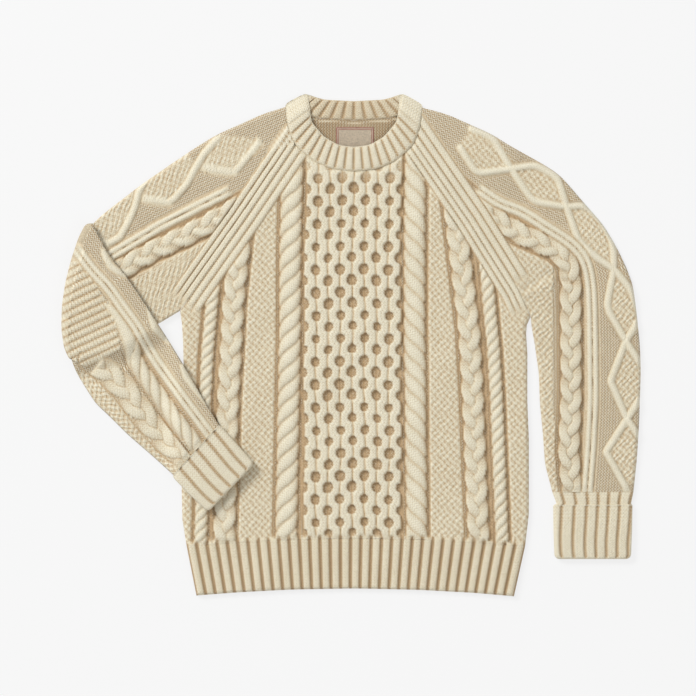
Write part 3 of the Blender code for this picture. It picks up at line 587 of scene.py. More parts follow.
def comb(knit):
    """Honeycomb: ribbons of two stitches that part round staggered cells."""
    height = sizes().comb_height / MM
    x = knit.x + wander(knit.x, knit.y, COMB_WANDER[0])
    y = knit.y + wander(knit.x, knit.y, COMB_WANDER[1])
    left = np.interp(y, *COMB_LEFT)
    right = np.interp(y, *COMB_RIGHT)
    wide = (right - left) / COMB_COLUMNS
    share = (x - left) / wide
    column = np.clip(np.floor(share), 0, COMB_COLUMNS - 1)
    cross = (share - column) * wide

    def opening(line):
        """Half width of the cells on a column line at each height."""
        offset = np.where(line % 2 == 1, 0.0, 0.5)
        rows = (y - COMB_ROW) / COMB_DOWN - offset
        row = np.round(rows)
        vary = 1 + 0.12 * np.sin(line * 12.9 + row * 7.8)
        down = (rows - row) * COMB_DOWN / (COMB_OPEN[1] * vary)
        return COMB_OPEN[0] * vary * np.sqrt(np.clip(1 - down**2, 0, 1))

    near, far = opening(column), opening(column + 1)
    t = (cross - near) / (wide - near - far)
    u = 2 * t - 1
    solid = (t > 0) & (t < 1)
    split = 1 - 0.16 * np.exp(-((u / 0.14) ** 2))
    rise = (0.26 + 0.74 * round_top(u, 2.3)) * split
    # Painted shade: the cells are darker than the ribbons, and a dark line runs down each column line where
    # neighbouring ribbons touch.
    line = np.exp(-((np.minimum(cross, wide - cross) / 0.8) ** 2))
    # By the neck the cells are shallow and light.
    top = 1 - smooth((knit.y - 164) / 24)
    value = np.where(solid, height * rise, -knit.groove + top * 0.6 * height)
    light = np.where(solid, shade("comb", rise), 0.27 + 0.2 * top) - 0.2 * line
    where = (share > 0) & (share < COMB_COLUMNS)
    knit.lay(where, value, light, u * 1.4 * knit.wide, y)


def moss(knit, weight, turned=0.0):
    """Moss stitch: beads in a lattice, every other row moved by half a bead."""
    height = sizes().moss_height / MM
    wide, long = 3.2, 3.5
    x = knit.x * math.cos(turned) + knit.y * math.sin(turned)
    y = knit.y * math.cos(turned) - knit.x * math.sin(turned)
    x = x + wander(x, y, MOSS_WANDER[0])
    y = y + wander(x, y, MOSS_WANDER[1])
    bead = 0.5 + 0.5 * np.cos(math.pi * x / wide) * np.cos(math.pi * y / long)
    bead = bead * (0.8 + 0.2 * np.sin(x * 0.9 + y * 1.3))
    knit.lay(weight, height * bead, shade("moss", bead), show=0.5)


def raglan_band(knit, seam, end):
    """Ribs that run beside a raglan seam down to the underarm."""
    height = sizes().rib_height / MM
    across, run = beside(knit.plan, seam, 40)
    first, last = BAND_VALLEYS[0][0], BAND_VALLEYS[-1][0]
    within = smooth((end - run) / BAND_FADE)
    middle, half = (first + last) / 2, (last - first) / 2
    seam, valley = 1.4, 0.45
    # Painted shade: the ground between the ribs is darkened and shows in the valleys.
    knit.lay(within * near_line(across - middle, half + seam), 0.1, 0.34, across, run)
    for (low, soft_low), (high, soft_high) in zip(BAND_VALLEYS[:-1], BAND_VALLEYS[1:]):
        middle, half = (low + high) / 2, (high - low) / 2 - valley
        u = (across - middle) / half
        depth = np.where(u < 0, soft_low, soft_high)
        rise = 1 - depth * (1 - round_top(u, 2.2))
        rise = rise * (1 - 0.14 * np.exp(-((u / 0.16) ** 2)))
        knit.lay(within * (np.abs(u) < 1), height * rise, shade("band", rise), across, run)


def twin_ribs(knit, line):
    """Two slim ribs side by side that rise out of the ground where they start."""
    height = sizes().strand_height / MM
    across, run = beside(knit.plan, eased(line, 3), 30)
    within = smooth((run + 6) / 12)
    apart, half, ground = 2.9, 2.8, 8.2
    # Painted shade in the sunken ground on both sides of the ribs.
    knit.lay(0.8 * within * near_line(across, ground, 2.4), -knit.groove * 0.4, 0.4, across, run)
    for middle in (-apart, apart):
        u = (across - middle) / half
        rise = soft_top(u)
        knit.lay(within * (np.abs(u) < 1), height * rise * 0.85, shade("twins", rise), across, run)


def strand(knit, line, width=8.4, share=1.0, lift=0.0):
    """One flat strand along a line, laid over what it crosses, its ends fading into the ground."""
    height = sizes().strand_height / MM * share
    line = eased(line, 4, 97)
    long = np.hypot(*np.diff(line, axis=0).T).sum()
    across, run = beside(knit.plan, line, 8)
    within = smooth((run + 5) / 9) * smooth((long + 5 - run) / 9)
    u = across / (width / 2)
    rise = soft_top(u)
    low = knit.height < height * 0.5
    # Painted shade: a sunken strip beside the strand is darkened where the ground lies low.
    knit.lay(0.4 * share * low * within * near_line(across, width / 2 + 2.4, 2.6), -0.4, 0.34)
    where = within * ((np.abs(u) < 1) & (height * rise + lift > knit.height))
    knit.lay(where, height * rise + lift, 0.6 - 0.14 * share + (0.14 + 0.18 * share) * rise, across, run)


def front_knit(plan):
    """All motifs of the front, also used for the outside of the back."""
    knit = Knit(plan, PLAIN["body"])
    moss(knit, 1.0)
    # Purl between the two cables on each side, painted darker as shade.
    purl = near_line(knit.x - 218, 4.5) + near_line(knit.x - 485, 3.5)
    knit.lay(purl * (knit.y > 300), -knit.groove * 0.6, 0.34, show=1.0)
    # The purl beside the honeycomb is painted dark as shade.
    for edge in (COMB_LEFT, COMB_RIGHT):
        across = knit.x - np.interp(knit.y, *edge)
        knit.lay(near_line(across, 4.0, 1.2), -knit.groove, 0.22, show=1.0)
    for _, line, width, _, _, _ in FRONT_CABLES:
        channel(knit, line, width)
    for kind, line, width, cross, start, lean in FRONT_CABLES:
        if kind == "rope":
            rope(knit, line, width, cross, start, lean)
        else:
            braid(knit, line, width, cross, start)
    comb(knit)
    raglan_band(knit, RAGLAN_LEFT, BAND_ENDS["body_left"])
    raglan_band(knit, RAGLAN_RIGHT, BAND_ENDS["body_right"])
    return knit


def sleeve_right_knit(plan):
    """Motifs of the sleeve that lies straight."""
    knit = Knit(plan, PLAIN["right"], eased(TWINS_RIGHT, 12))
    under, _ = beside(plan, UNDER_RIGHT, 60)
    line = eased(BRAID_RIGHT, 3)
    inner = (knit.y > 247) & (knit.x < 553)
    moss(knit, (np.abs(under) < 13) | inner)
    channel(knit, line, 21.0)
    for corners in MOSS_RIGHT:
        moss(knit, inside(plan, corners))
    braid(knit, line, 21.5, 22.0, 9.0)
    strand(knit, DIAMONDS_RIGHT_FAR, 7.6)
    strand(knit, DIAMONDS_RIGHT_LOW, 7.6)
    strand(knit, DIAMONDS_RIGHT_END, 7.6)
    strand(knit, DIAMONDS_RIGHT_NEAR, 7.6, lift=0.4)
    twin_ribs(knit, TWINS_RIGHT)
    raglan_band(knit, RAGLAN_RIGHT, BAND_ENDS["sleeve_right"])
    # A small dent where the sleeve turns down, with painted shade in it.
    aside, down = knit.x - 566, knit.y - 281
    dent = np.exp(-((aside / 11) ** 2 + ((down - aside * 0.2) / 3.2) ** 2))
    knit.height = knit.height - 2.6 * dent
    knit.light = knit.light - 0.16 * dent
    return knit.settle()


def sleeve_left_knit(plan):
    """Motifs of the upper arm."""
    knit = Knit(plan, PLAIN["left"], TWINS_LEFT)
    under, _ = beside(plan, UNDER_LEFT, 60)
    below, _ = beside(plan, BRAID_LEFT, 60)
    moss(knit, smooth((below - 13) / 3) * (np.abs(under) < 50), -0.5)
    channel(knit, BRAID_LEFT, 20.0)
    for corners in MOSS_LEFT:
        moss(knit, inside(plan, corners), -0.5)
    braid(knit, BRAID_LEFT, 21.0, 22.0, 4.0)
    for line, width, share in STRANDS_LEFT:
        strand(knit, line, width, share)
    twin_ribs(knit, TWINS_LEFT)
    raglan_band(knit, RAGLAN_LEFT, BAND_ENDS["sleeve_left"])
    return knit.settle()


def forearm_knit(plan):
    """Motifs of the forearm, whose back shows."""
    knit = Knit(plan, PLAIN["forearm"], TWINS_FOREARM)
    lower, _ = beside(plan, FOREARM_LOWER, 10)
    moss(knit, (np.abs(lower) < 16) & (knit.y > 372), 0.8)
    # Slanted rows of beads over the elbow.
    rows = (knit.y * math.cos(ELBOW_SLOPE) + knit.x * math.sin(ELBOW_SLOPE)) / ELBOW_PITCH
    f = rows - np.floor(rows) - 0.5
    bead = np.cos(2 * math.pi * (knit.x * math.cos(ELBOW_SLOPE) - knit.y * math.sin(ELBOW_SLOPE)) / 3.6)
    rise = soft_top(2 * f) * (0.8 + 0.2 * bead)
    knit.lay(inside(plan, ELBOW_PATCH), 3.0 * rise - 0.8, shade("elbow", rise))
    # Purl above the braid, and on both sides of the rib that becomes a rope, painted dark as shade.
    braided, roped = eased(BRAID_FOREARM, 8), eased(ROPE_FOREARM, 8)
    across, _ = beside(plan, braided, 0)
    knit.lay(near_line(across + 13.0, 1.8), -0.6, 0.36)
    across, run = beside(plan, RIB_FOREARM + ROPE_FOREARM[2:], 10)
    weight = near_line(across - 3.5, 6.5 + 4.0 * smooth((run - 45) / 12)) * smooth(run / 20)
    knit.lay(weight, -knit.groove, 0.27, across, run, 1.0)
    braid(knit, braided, 24.5, 26.0, 0.0, 4)
    across, run = beside(plan, roped, 10)
    # Painted shade in the sunken purl beside the rope.
    knit.lay(near_line(across + 10.0, 1.6, 1.2) * smooth(run / 10), -knit.groove, 0.24, show=1.0)
    # The rib widens on its way to the rope.
    across, run = beside(plan, RIB_FOREARM, 0)
    half = 3.4 + 3.2 * smooth(run / 45)
    rise = soft_top(across / half)
    knit.lay((np.abs(across) < half) * smooth(run / 12), 3.0 * rise, shade("forearm_rib", rise), across, run)
    rope(knit, roped, 16.5, 17.8, 11.0, 1, 0.58, 1)
    for line in FOLD_STRANDS:
        strand(knit, line, 6.5, 0.6)
    twin_ribs(knit, TWINS_FOREARM)
    return knit.settle()


def rib_rise(phase, valley=0.22):
    """Height share of rounded ribs, by a phase that counts them."""
    f = np.abs(phase - np.floor(phase) - 0.5) * 2
    return round_top(f / (1 - valley), 3.0)


def body_outline():
    """Plan outline of the body, used for what lies on it."""
    return RAGLAN_LEFT[::-1] + RAGLAN_RIGHT + SIDE_RIGHT[1:] + HEM_END[::-1] + SIDE_LEFT[::-1][:-1]


def lying_height(plan):
    """How far up cloth lies that goes over the upper arm and the body."""
    over = np.zeros(plan.shape[:-1])
    arm = SHOULDER_LEFT + ELBOW[1:] + UNDER_LEFT[::-1][1:]
    for outline in (arm, body_outline()):
        away, _ = beside(plan, list(outline) + [outline[0]])
        away = np.where(inside(plan, outline), 0.0, np.abs(away) * STEP / MM)
        over = np.maximum(over, smooth(1 - away / FALL))
    return REST * over


def side_depth(plan):
    """Distance in millimetres of each point from the two side folds of its row."""
    near = np.hypot(*np.moveaxis(plan - plan[:, :1], -1, 0))
    far = np.hypot(*np.moveaxis(plan - plan[:, -1:], -1, 0))
    return np.minimum(near, far) * STEP / MM


def front_ply(depth, relief):
    """Height of the upper side of a flattened tube."""
    return SEAM + (GROUND - SEAM) * crown(depth) + relief * smooth(depth / EDGE_FADE)


def back_ply(depth, gap):
    """Height of the underside of a flattened tube, with the gap that its motifs leave over the floor."""
    return SEAM * (1 - crown(depth)) + gap * crown(depth)


def pressed(relief):
    """Gap over the floor under a motif that the weight of the cloth presses flat."""
    return 1.3 * (1 - np.clip(relief / 2.6, 0, 1))


def sheet_mesh(name, points, light, stitch):
    """A grid whose vertices are moved to the given rows of points."""
    rows, columns = points.shape[:2]
    bm = bmesh.new()
    bmesh.ops.create_grid(bm, x_segments=columns - 1, y_segments=rows - 1, size=0.5)
    mesh = bpy.data.meshes.new(name)
    bm.to_mesh(mesh)
    bm.free()
    made = np.empty(len(mesh.vertices) * 3)
    mesh.vertices.foreach_get("co", made)
    made = made.reshape(-1, 3)
    j = np.rint((made[:, 0] + 0.5) * (columns - 1)).astype(int)
    i = np.rint((made[:, 1] + 0.5) * (rows - 1)).astype(int)
    mesh.vertices.foreach_set("co", points[i, j].ravel())
    tone = mesh.attributes.new("light", "FLOAT", "POINT")
    tone.data.foreach_set("value", light[i, j].ravel())
    marks = mesh.attributes.new("stitch", "FLOAT_VECTOR", "POINT")
    marks.data.foreach_set("vector", stitch[i, j].ravel())
    return mesh


def finish_piece(name, mesh, material):
    """Put a mesh in the scene in place of the CAD node of the same name."""
    mesh.polygons.foreach_set("use_smooth", [True] * len(mesh.polygons))
    item = bpy.data.objects.new(name + "_knit", mesh)
    bpy.context.scene.collection.objects.link(item)
    mesh.materials.append(material)
    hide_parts(name)
    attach(item, "root")
    return item


def panel(name, points, light, stitch, base, material):
    """A closed wall: a shaped side, its edge turned to the base, and a plain other side."""
    mesh = sheet_mesh(name, points, light, stitch)
    bm = bmesh.new()
    bm.from_mesh(mesh)
    bmesh.ops.remove_doubles(bm, verts=bm.verts[:], dist=2e-6)
    tone = bm.verts.layers.float["light"]
    edge = [e for e in bm.edges if e.is_boundary]
    made = bmesh.ops.extrude_edge_only(bm, edges=edge)["geom"]
    for v in made:
        if isinstance(v, bmesh.types.BMVert):
            v.co.z = base * MM
            v[tone] = UNSEEN
    rim = [e for e in made if isinstance(e, bmesh.types.BMEdge) and e.is_boundary]
    bmesh.ops.edgeloop_fill(bm, edges=rim)
    bmesh.ops.recalc_face_normals(bm, faces=bm.faces[:])
    bm.to_mesh(mesh)
    bm.free()
    return finish_piece(name, mesh, material)


def ring(name, points, light, stitch, material):
    """A closed ring: a grid that meets itself both ways."""
    mesh = sheet_mesh(name, points, light, stitch)
    bm = bmesh.new()
    bm.from_mesh(mesh)
    bmesh.ops.remove_doubles(bm, verts=bm.verts[:], dist=1e-6)
    bmesh.ops.recalc_face_normals(bm, faces=bm.faces[:])
    for edge in bm.edges:
        edge.smooth = edge.calc_face_angle(0.0) < RIM_ANGLE
    bm.to_mesh(mesh)
    bm.free()
    return finish_piece(name, mesh, material)


def two_sided(name, plan, low, high, under, above, material):
    """A closed wall with knitting of its own on the underside and on the upper side."""

    def all_round(lower, upper, middle):
        rows = np.concatenate([lower, upper[:, ::-1], lower[:, :1]], axis=1)
        edge = np.concatenate([middle, middle[:, ::-1], middle[:, :1]], axis=1)
        return np.concatenate([edge[:1], rows, edge[-1:]])

    points = all_round(place(plan, low), place(plan, high), place(plan, (low + high) / 2))
    light = all_round(under.light, above.light, above.light)
    stitch = all_round(under.stitch, above.stitch, above.stitch)
    return ring(name, points, light, stitch, material)


def body_grid(left, right, neck, hem, across, down):
    """Plan points of square knitting drawn in to the edges of a body panel."""
    x, y = np.meshgrid(across, down)
    x = np.clip(x, np.interp(y, left[:, 1], left[:, 0]), np.interp(y, right[:, 1], right[:, 0]))
    y = np.clip(y, np.interp(x, neck[:, 0], neck[:, 1]), np.interp(x, hem[:, 0], hem[:, 1]))
    return np.stack([x, y], -1)


def body_edges(raglan_left, raglan_right, neck):
    """Side lines, neck line and hem line of a body panel, a hair inside its seams."""
    left = np.array(shifted(raglan_left, HALF_GAP) + SIDE_LEFT[1:-1] + [(186.6, 546 - HALF_GAP)])
    right = np.array(shifted(raglan_right, -HALF_GAP) + SIDE_RIGHT[1:-1] + [(525.2, 546 - HALF_GAP)])
    between = neck[(neck[:, 0] > left[0, 0] + 1) & (neck[:, 0] < right[0, 0] - 1)]
    neck = np.concatenate([left[:1], between + (0, HALF_GAP), right[:1]])
    hem = np.array([(x, y - HALF_GAP) for x, y in HEM_TOP])
    return left, right, neck, hem


def into_hem(knit, plan, hem):
    """Let the motifs end in the ribs of the hem."""
    gap = np.interp(plan[..., 0], hem[:, 0], hem[:, 1]) - plan[..., 1]
    line = np.asarray(HEM_TOP)
    leg = np.concatenate([[0], np.cumsum(np.hypot(*np.diff(line, axis=0).T))])
    share = np.interp(plan[..., 0], line[:, 0], leg / leg[-1])
    rise = rib_rise(share * HEM_RIBS)
    near = smooth(1 - gap / 6.0)
    knit.height = knit.height * (1 - near) + near * (sizes().rib_height / MM * rise - 0.8)
    knit.light = knit.light * (1 - near) + near * shade("rib", rise)


def body_side_depth(plan):
    """Distance in millimetres from the side folds of the body."""
    away = [np.abs(beside(plan, side)[0]) for side in (SIDE_LEFT, SIDE_RIGHT)]
    return np.minimum(*away) * STEP / MM


def make_front():
    """Front panel, its motifs finest in the honeycomb."""
    neck_line = eased(NECK_SEAM_FRONT, 8, 121)
    left, right, neck, hem = body_edges(RAGLAN_LEFT, RAGLAN_RIGHT, neck_line)
    coarse, fine = 1.22, 0.99
    across = np.concatenate([
        np.arange(180.0, 303.0, coarse), np.arange(303.0, 402.0, fine), np.arange(402.0, 531.5, coarse)])
    plan = body_grid(left, right, neck, hem, across, np.linspace(136.0, 546.0, 352))
    knit = front_knit(plan)
    near_neck = np.abs(beside(plan, neck_line)[0])
    knit.height = knit.height * (0.25 + 0.75 * smooth(near_neck / 5.0))
    into_hem(knit, plan, hem)
    knit.settle()
    sides = body_side_depth(plan)
    base = BACK_TOP + 0.1
    height = base + 0.8 + (GROUND - base - 0.8) * crown(sides) + knit.height * smooth(sides / EDGE_FADE)
    item = panel("front_body", place(plan, height), knit.light, knit.stitch, base,
                 wool("front_wool"))


def make_back():
    """Back panel: motifs pressed on the floor, and plain purl inside."""
    neck_line = np.array(NECK_SEAM_BACK[1:-1])
    left, right, neck, hem = body_edges(RAGLAN_BACK_LEFT, RAGLAN_BACK_RIGHT, neck_line)
    plan = body_grid(left, right, neck, hem, np.linspace(180.0, 532.0, 196), np.linspace(113.0, 546.0, 216))
    knit = front_knit(plan)
    into_hem(knit, plan, hem)
    knit.settle()
    low = pressed(knit.height) * smooth(body_side_depth(plan) / EDGE_FADE)
    # The inside is painted dark as shade; the chain along the neck seam keeps the plain wool tone.
    lining = Knit(plan, PLAIN["inside"])
    chain = lining.y - np.interp(lining.x, neck_line[:, 0], neck_line[:, 1]) - 2.2
    lining.lay(near_line(chain, 1.6), 0.6, 0.62)
    lining.settle()
    high = BACK_TOP + np.clip(lining.height, 0, 0.6)
    item = two_sided("back_body", plan, low, high, knit, lining, wool("back_wool"))


def across_columns(count, crowd=0.2):
    """Shares across a sleeve, closer together at its folds."""
    w = np.linspace(0, 1, count)
    return (1 - crowd) * w + crowd * (0.5 - 0.5 * np.cos(math.pi * w))


def tube_ring(front, back):
    """Join the front and back of a tube into rows that go all round."""
    return np.concatenate([front, back[:, -2::-1]], axis=1)


def tube_piece(name, outer, inner, light, stitch, material):
    """A tube wall: outer rows out, inner rows back, closed both ways."""
    points = np.concatenate([outer, inner[::-1], outer[:1]])
    rows = len(inner)
    tone = np.concatenate([light, np.full((rows,) + light.shape[1:], UNSEEN), light[:1]])
    marks = np.concatenate([stitch, np.repeat(stitch[:1], rows, 0), stitch[:1]])
    return ring(name, points, tone, marks, material)


def inner_side(plan_rows):
    """Inner columns: the outer ones drawn in from the side folds."""
    width = np.hypot(*np.moveaxis(plan_rows[:, -1] - plan_rows[:, 0], -1, 0))[:, None, None]
    share = SIDE_WALL * MM / STEP / width
    v = np.linspace(0, 1, plan_rows.shape[1])[None, :, None]
    chord = plan_rows[:, -1:] - plan_rows[:, :1]
    return plan_rows + chord * np.clip(1 - 2 * v, -1, 1) * share


def wall_level(shape, middle):
    """Height of the inside of a tube: on the seam level at its folds, flat between."""
    level = np.full(shape, middle)
    level[:, 0] = level[:, -1] = SEAM
    return level


def make_sleeve_right():
    """Straight sleeve, in two patches that meet where the shoulder turns down."""
    seam = shifted(RAGLAN_RIGHT, HALF_GAP)
    start_front = [SHOULDER_RIGHT[0], (420.53, 127), seam[0]] + seam[1:-1] + [UNDER_RIGHT[0]]
    start_back = [SHOULDER_RIGHT[0]] + shifted(RAGLAN_BACK_RIGHT, HALF_GAP)[:-1] + [UNDER_RIGHT[0]]
    shoulder = eased(SHOULDER_RIGHT, 10, 161)
    split = int(np.argmin(np.hypot(*(shoulder - SHOULDER_RIGHT[TURN_AT]).T)))
    turn = [tuple(shoulder[split])] + TURN_RIGHT[1:]
    lower_first = [UNDER_RIGHT[0], turn[-1]]
    lower_rest = np.concatenate([[turn[-1]], eased(UNDER_RIGHT, 6, 81)[3:]])
    to_turn, to_cuff = np.linspace(0, 1, 140)[:-1], np.linspace(0, 1, 290)

    def plan_of(start, count):
        side = across_columns(count)
        return np.concatenate([
            patch(start, turn, shoulder[:split + 1], lower_first, to_turn, side),
            patch(turn, CUFF_LINE_RIGHT, shoulder[split:], lower_rest, to_cuff, side)])

    front, back = plan_of(start_front, 112), plan_of(start_back, 72)
    above, below = sleeve_right_knit(front), sleeve_right_knit(back)
    end = np.abs(front[..., 1] - 492.0)
    above.height = above.height * (0.3 + 0.7 * smooth(end / 7.0))
    high = front_ply(side_depth(front), above.height)
    low = back_ply(side_depth(back), pressed(below.height))
    outer = tube_ring(place(front, high), place(back, low))
    light = tube_ring(above.light, below.light)
    stitch = tube_ring(above.stitch, below.stitch)
    pick = np.linspace(0, len(front) - 1, 24).astype(int)
    inner = tube_ring(
        place(inner_side(front[pick]), wall_level(front[pick].shape[:2], FRONT_BASE)),
        place(inner_side(back[pick]), wall_level(back[pick].shape[:2], BACK_TOP)))
    item = tube_piece("sleeve_right", outer, inner, light, stitch,
                      wool("sleeve_right_wool"))


def out_of_elbow(elbow, side):
    """Plan directions that point out of the fold at the elbow, a column each."""
    along = np.gradient(at(elbow, side), axis=0)
    along /= np.hypot(along[:, 0], along[:, 1])[:, None]
    outward = np.stack([-along[:, 1], along[:, 0]], -1)
    outward += along * np.interp(side, [0, 0.15], [0.5, 0])[:, None]
    return outward / np.hypot(outward[:, 0], outward[:, 1])[:, None]


def round_elbow(edge, outward, level, angles):
    """Plan points and heights of a wall that turns over, from its last row before the fold."""
    radius = FOLD_MIDDLE - level
    reach = radius * MM / STEP * np.sin(angles)[:, None]
    return edge + outward[None] * reach[..., None], FOLD_MIDDLE - radius * np.cos(angles)[:, None]


def make_sleeve_left():
    """Folded sleeve: the upper arm, the bend round the elbow, and the forearm that lies over both."""
    seam = shifted(RAGLAN_LEFT, -HALF_GAP)
    start_front = [SHOULDER_LEFT[0], (287.47, 127)] + seam[:-1] + [UNDER_LEFT[0]]
    start_back = [SHOULDER_LEFT[0]] + shifted(RAGLAN_BACK_LEFT, -HALF_GAP)[:-1] + [UNDER_LEFT[0]]
    elbow = eased(ELBOW, 4)
    upper, under = eased(SHOULDER_LEFT, 4), eased(UNDER_LEFT, 4)
    fore_upper, fore_lower = eased(FOREARM_UPPER, 4), eased(FOREARM_LOWER, 4)
    arm_rows, fore_rows = 180, 240
    angles = np.radians(np.linspace(0, 180, 20)[1:])
    outers, lights, marks, inners = [], [], [], []
    to_elbow, to_cuff_line = np.linspace(0, 1, arm_rows), np.linspace(0, 1, fore_rows + 1)[1:]
    for lower_side, start, count in ((False, start_front, 96), (True, start_back, 100)):
        side = across_columns(count)
        arm = patch(start, elbow, upper, under, to_elbow, side)
        fore = patch(elbow, CUFF_LINE_LEFT, fore_upper, fore_lower, to_cuff_line, side)
        lift = lying_height(fore)
        outward = out_of_elbow(elbow, side)
        fade_arm = smooth(np.linspace(1, 0, arm_rows) * 9)[:, None]
        fade_fore = smooth(np.linspace(0, 1, fore_rows) * 45)[:, None]
        to_cuff = 0.3 + 0.7 * smooth(np.linspace(1, 0, fore_rows) * 30)[:, None]
        knit = sleeve_left_knit(arm)
        if lower_side:
            local = back_ply(side_depth(arm), pressed(knit.height) * fade_arm)
            top = forearm_knit(fore)
            over = GROUND - back_ply(side_depth(fore), 0)
            over = over + top.height * smooth(side_depth(fore) / EDGE_FADE) * fade_fore * to_cuff
            middle = BACK_TOP
        else:
            local = front_ply(side_depth(arm), knit.height * fade_arm)
            top = Knit(fore, PLAIN["body"])
            over = GROUND - front_ply(side_depth(fore), 0)
            middle = FRONT_BASE
        bent, bent_high = round_elbow(arm[-1:], outward, local[-1:], angles)
        outers.append(np.concatenate([place(arm, local), place(bent, bent_high), place(fore, lift + over)]))
        turn = np.linspace(0, 1, len(angles))[:, None]
        seen = forearm_knit(bent).light if lower_side else top.light[:1]
        bent_light = np.where(turn < 0.5, knit.light[-1:], seen)
        lights.append(np.concatenate([knit.light, bent_light, top.light]))
        mark = (1 - turn)[..., None] * knit.stitch[-1:] + turn[..., None] * top.stitch[:1]
        mark[..., 2] *= 0.3
        marks.append(np.concatenate([knit.stitch, mark, top.stitch]))
        inner_arm, inner_fore = inner_side(arm[::10]), inner_side(fore[9::10])
        level = wall_level((1, count), middle)
        base = inner_side(arm[-1:])
        turned, turned_high = round_elbow(base, outward, level, angles[::3])
        inners.append(np.concatenate([
            place(inner_arm, np.broadcast_to(level, inner_arm.shape[:2])),
            place(base, level),
            place(turned, turned_high),
            place(inner_fore, lift[9::10] + GROUND - level)]))
    item = tube_piece("sleeve_left", tube_ring(*outers), tube_ring(*inners), tube_ring(*lights),
                      tube_ring(*marks), wool("sleeve_left_wool"))


def marks_of(across, run, shape):
    """Stitch marks of a ribbed piece, its stitches standing out by a share."""
    parts = np.broadcast_to(across, shape), np.broadcast_to(run, shape), np.full(shape, 0.6)
    return np.stack(parts, -1)


def make_neck():
    """Doubled neck band: flat in front, on edge at the sides, and showing its inside behind."""
    step = 12
    share_front = np.linspace(0, 1, NECK_RIBS[0] * step + 1)
    share_back = np.linspace(1, 0, NECK_RIBS[1] * step + 1)[1:]
    seam = np.concatenate([
        at(eased(NECK_SEAM_FRONT, 8, 121), share_front), at(eased(NECK_SEAM_BACK, 8, 121), share_back)])
    top = np.concatenate([
        at(eased(NECK_TOP_FRONT, 8, 121), share_front), at(eased(NECK_TOP_BACK, 8, 121), share_back)])
    seam = seam + (top - seam) * 0.001
    front_reach, back_reach = np.abs(share_front - 0.5) * 2, np.abs(share_back - 0.5) * 2
    at_sides = smooth((front_reach - 0.84) / 0.16)
    behind = smooth((back_reach - 0.8) / 0.2)
    turn = np.concatenate([1.0 - at_sides, -1.0 + behind])
    front_level, back_level, rise_by = 8.0, 2.6, 2.7
    level = np.concatenate([front_level - rise_by * at_sides, back_level + rise_by * behind])
    phase = np.arange(len(seam)) / step
    plain = np.concatenate([smooth((front_reach - 0.72) / 0.14), np.zeros(len(share_back))])
    rise = 1 - (1 - rib_rise(phase, 0.2)) * (1 - 0.9 * plain)
    out = seam - top
    out /= np.hypot(out[:, 0], out[:, 1])[:, None]
    side = np.stack([-out[:, 1], out[:, 0]], -1)
    side *= np.where(seam[:, 0] < NECK_MIDDLE, 1, -1)[:, None]
    lean = np.sqrt(np.clip(1 - turn**2, 0, 1))
    half, ply, rib = 2.6, 0.7, 2.3
    angle = np.linspace(0, 2 * math.pi, 57)
    share = 0.5 - 0.5 * np.sign(np.cos(angle)) * np.abs(np.cos(angle)) ** 0.7
    way = np.sign(np.sin(angle)) * np.abs(np.sin(angle)) ** 0.5
    share[-1], way[-1] = share[0], way[0]
    edge_row = smooth(np.minimum(share, 1 - share) / 0.09)[:, None]
    ribbed = np.clip(way[:, None] * np.where(turn < 0, -1, 1)[None], 0, 1)
    thick = way[:, None] * (half - ply + ribbed * edge_row * rib * rise[None] + (1 - ribbed) * ply)
    plan = seam[None] + (top - seam)[None] * share[:, None, None]
    plan = plan + side[None] * (thick * lean[None])[..., None] * MM / STEP
    points = place(plan, level[None] + thick * turn[None])
    points[:, -1] = points[:, 0]
    light = shade("neck", rise[None]) * edge_row + 0.62 * (1 - edge_row)
    # Painted shade: the part of the band behind the neck is made darker.
    light = light * np.where(turn < -0.2, 0.72, 1.0)[None]
    high = 25
    run = (share * high / stitch_size()[1])[:, None]
    marks = marks_of(phase[None] * STITCHES_IN_RIB, run, thick.shape)
    item = ring("neck_rib", points, light, marks, wool("neck_wool"))


def make_hems():
    """Ribs along the lower edge, those of the back pressed on the floor."""
    step = 10
    v = np.linspace(0, 1, HEM_RIBS * step + 1)
    upper = at(eased([(x, y + HALF_GAP) for x, y in HEM_TOP], 3), v)
    lower = at(eased(HEM_END, 3), v)
    t = np.linspace(0, 1, 56)[:, None, None]
    plan = (1 - t) * upper[None] + t * lower[None]
    rise = rib_rise(v * HEM_RIBS)
    depth = side_depth(plan)
    foot = (1 - t[..., 0]) * HEM_LONG_MM
    knit = Knit(plan, PLAIN["body"])
    knit.lay(1.0, sizes().rib_height / MM * rise[None] - 0.8, shade("rib", rise[None]))
    knit.stitch[..., 0] = v[None] * HEM_RIBS * STITCHES_IN_RIB
    knit.stitch[..., 1] = knit.y / knit.long
    knit.settle()
    base = BACK_TOP + 0.1
    high = crown(depth, EDGE_FADE) * crown(foot, EDGE_FADE)
    height = base + 0.8 + (GROUND - base - 0.8) * high + knit.height * smooth(depth / EDGE_FADE) * high
    item = panel("hem_rib_front", place(plan, height), knit.light, knit.stitch, base,
                 wool("hem_front_wool"))
    under = pressed(knit.height * 1.4)[::4, ::2]
    item = panel("hem_rib_back", place(plan[::4, ::2], under), knit.light[::4, ::2], knit.stitch[::4, ::2],
                 BACK_TOP, wool("hem_back_wool"))


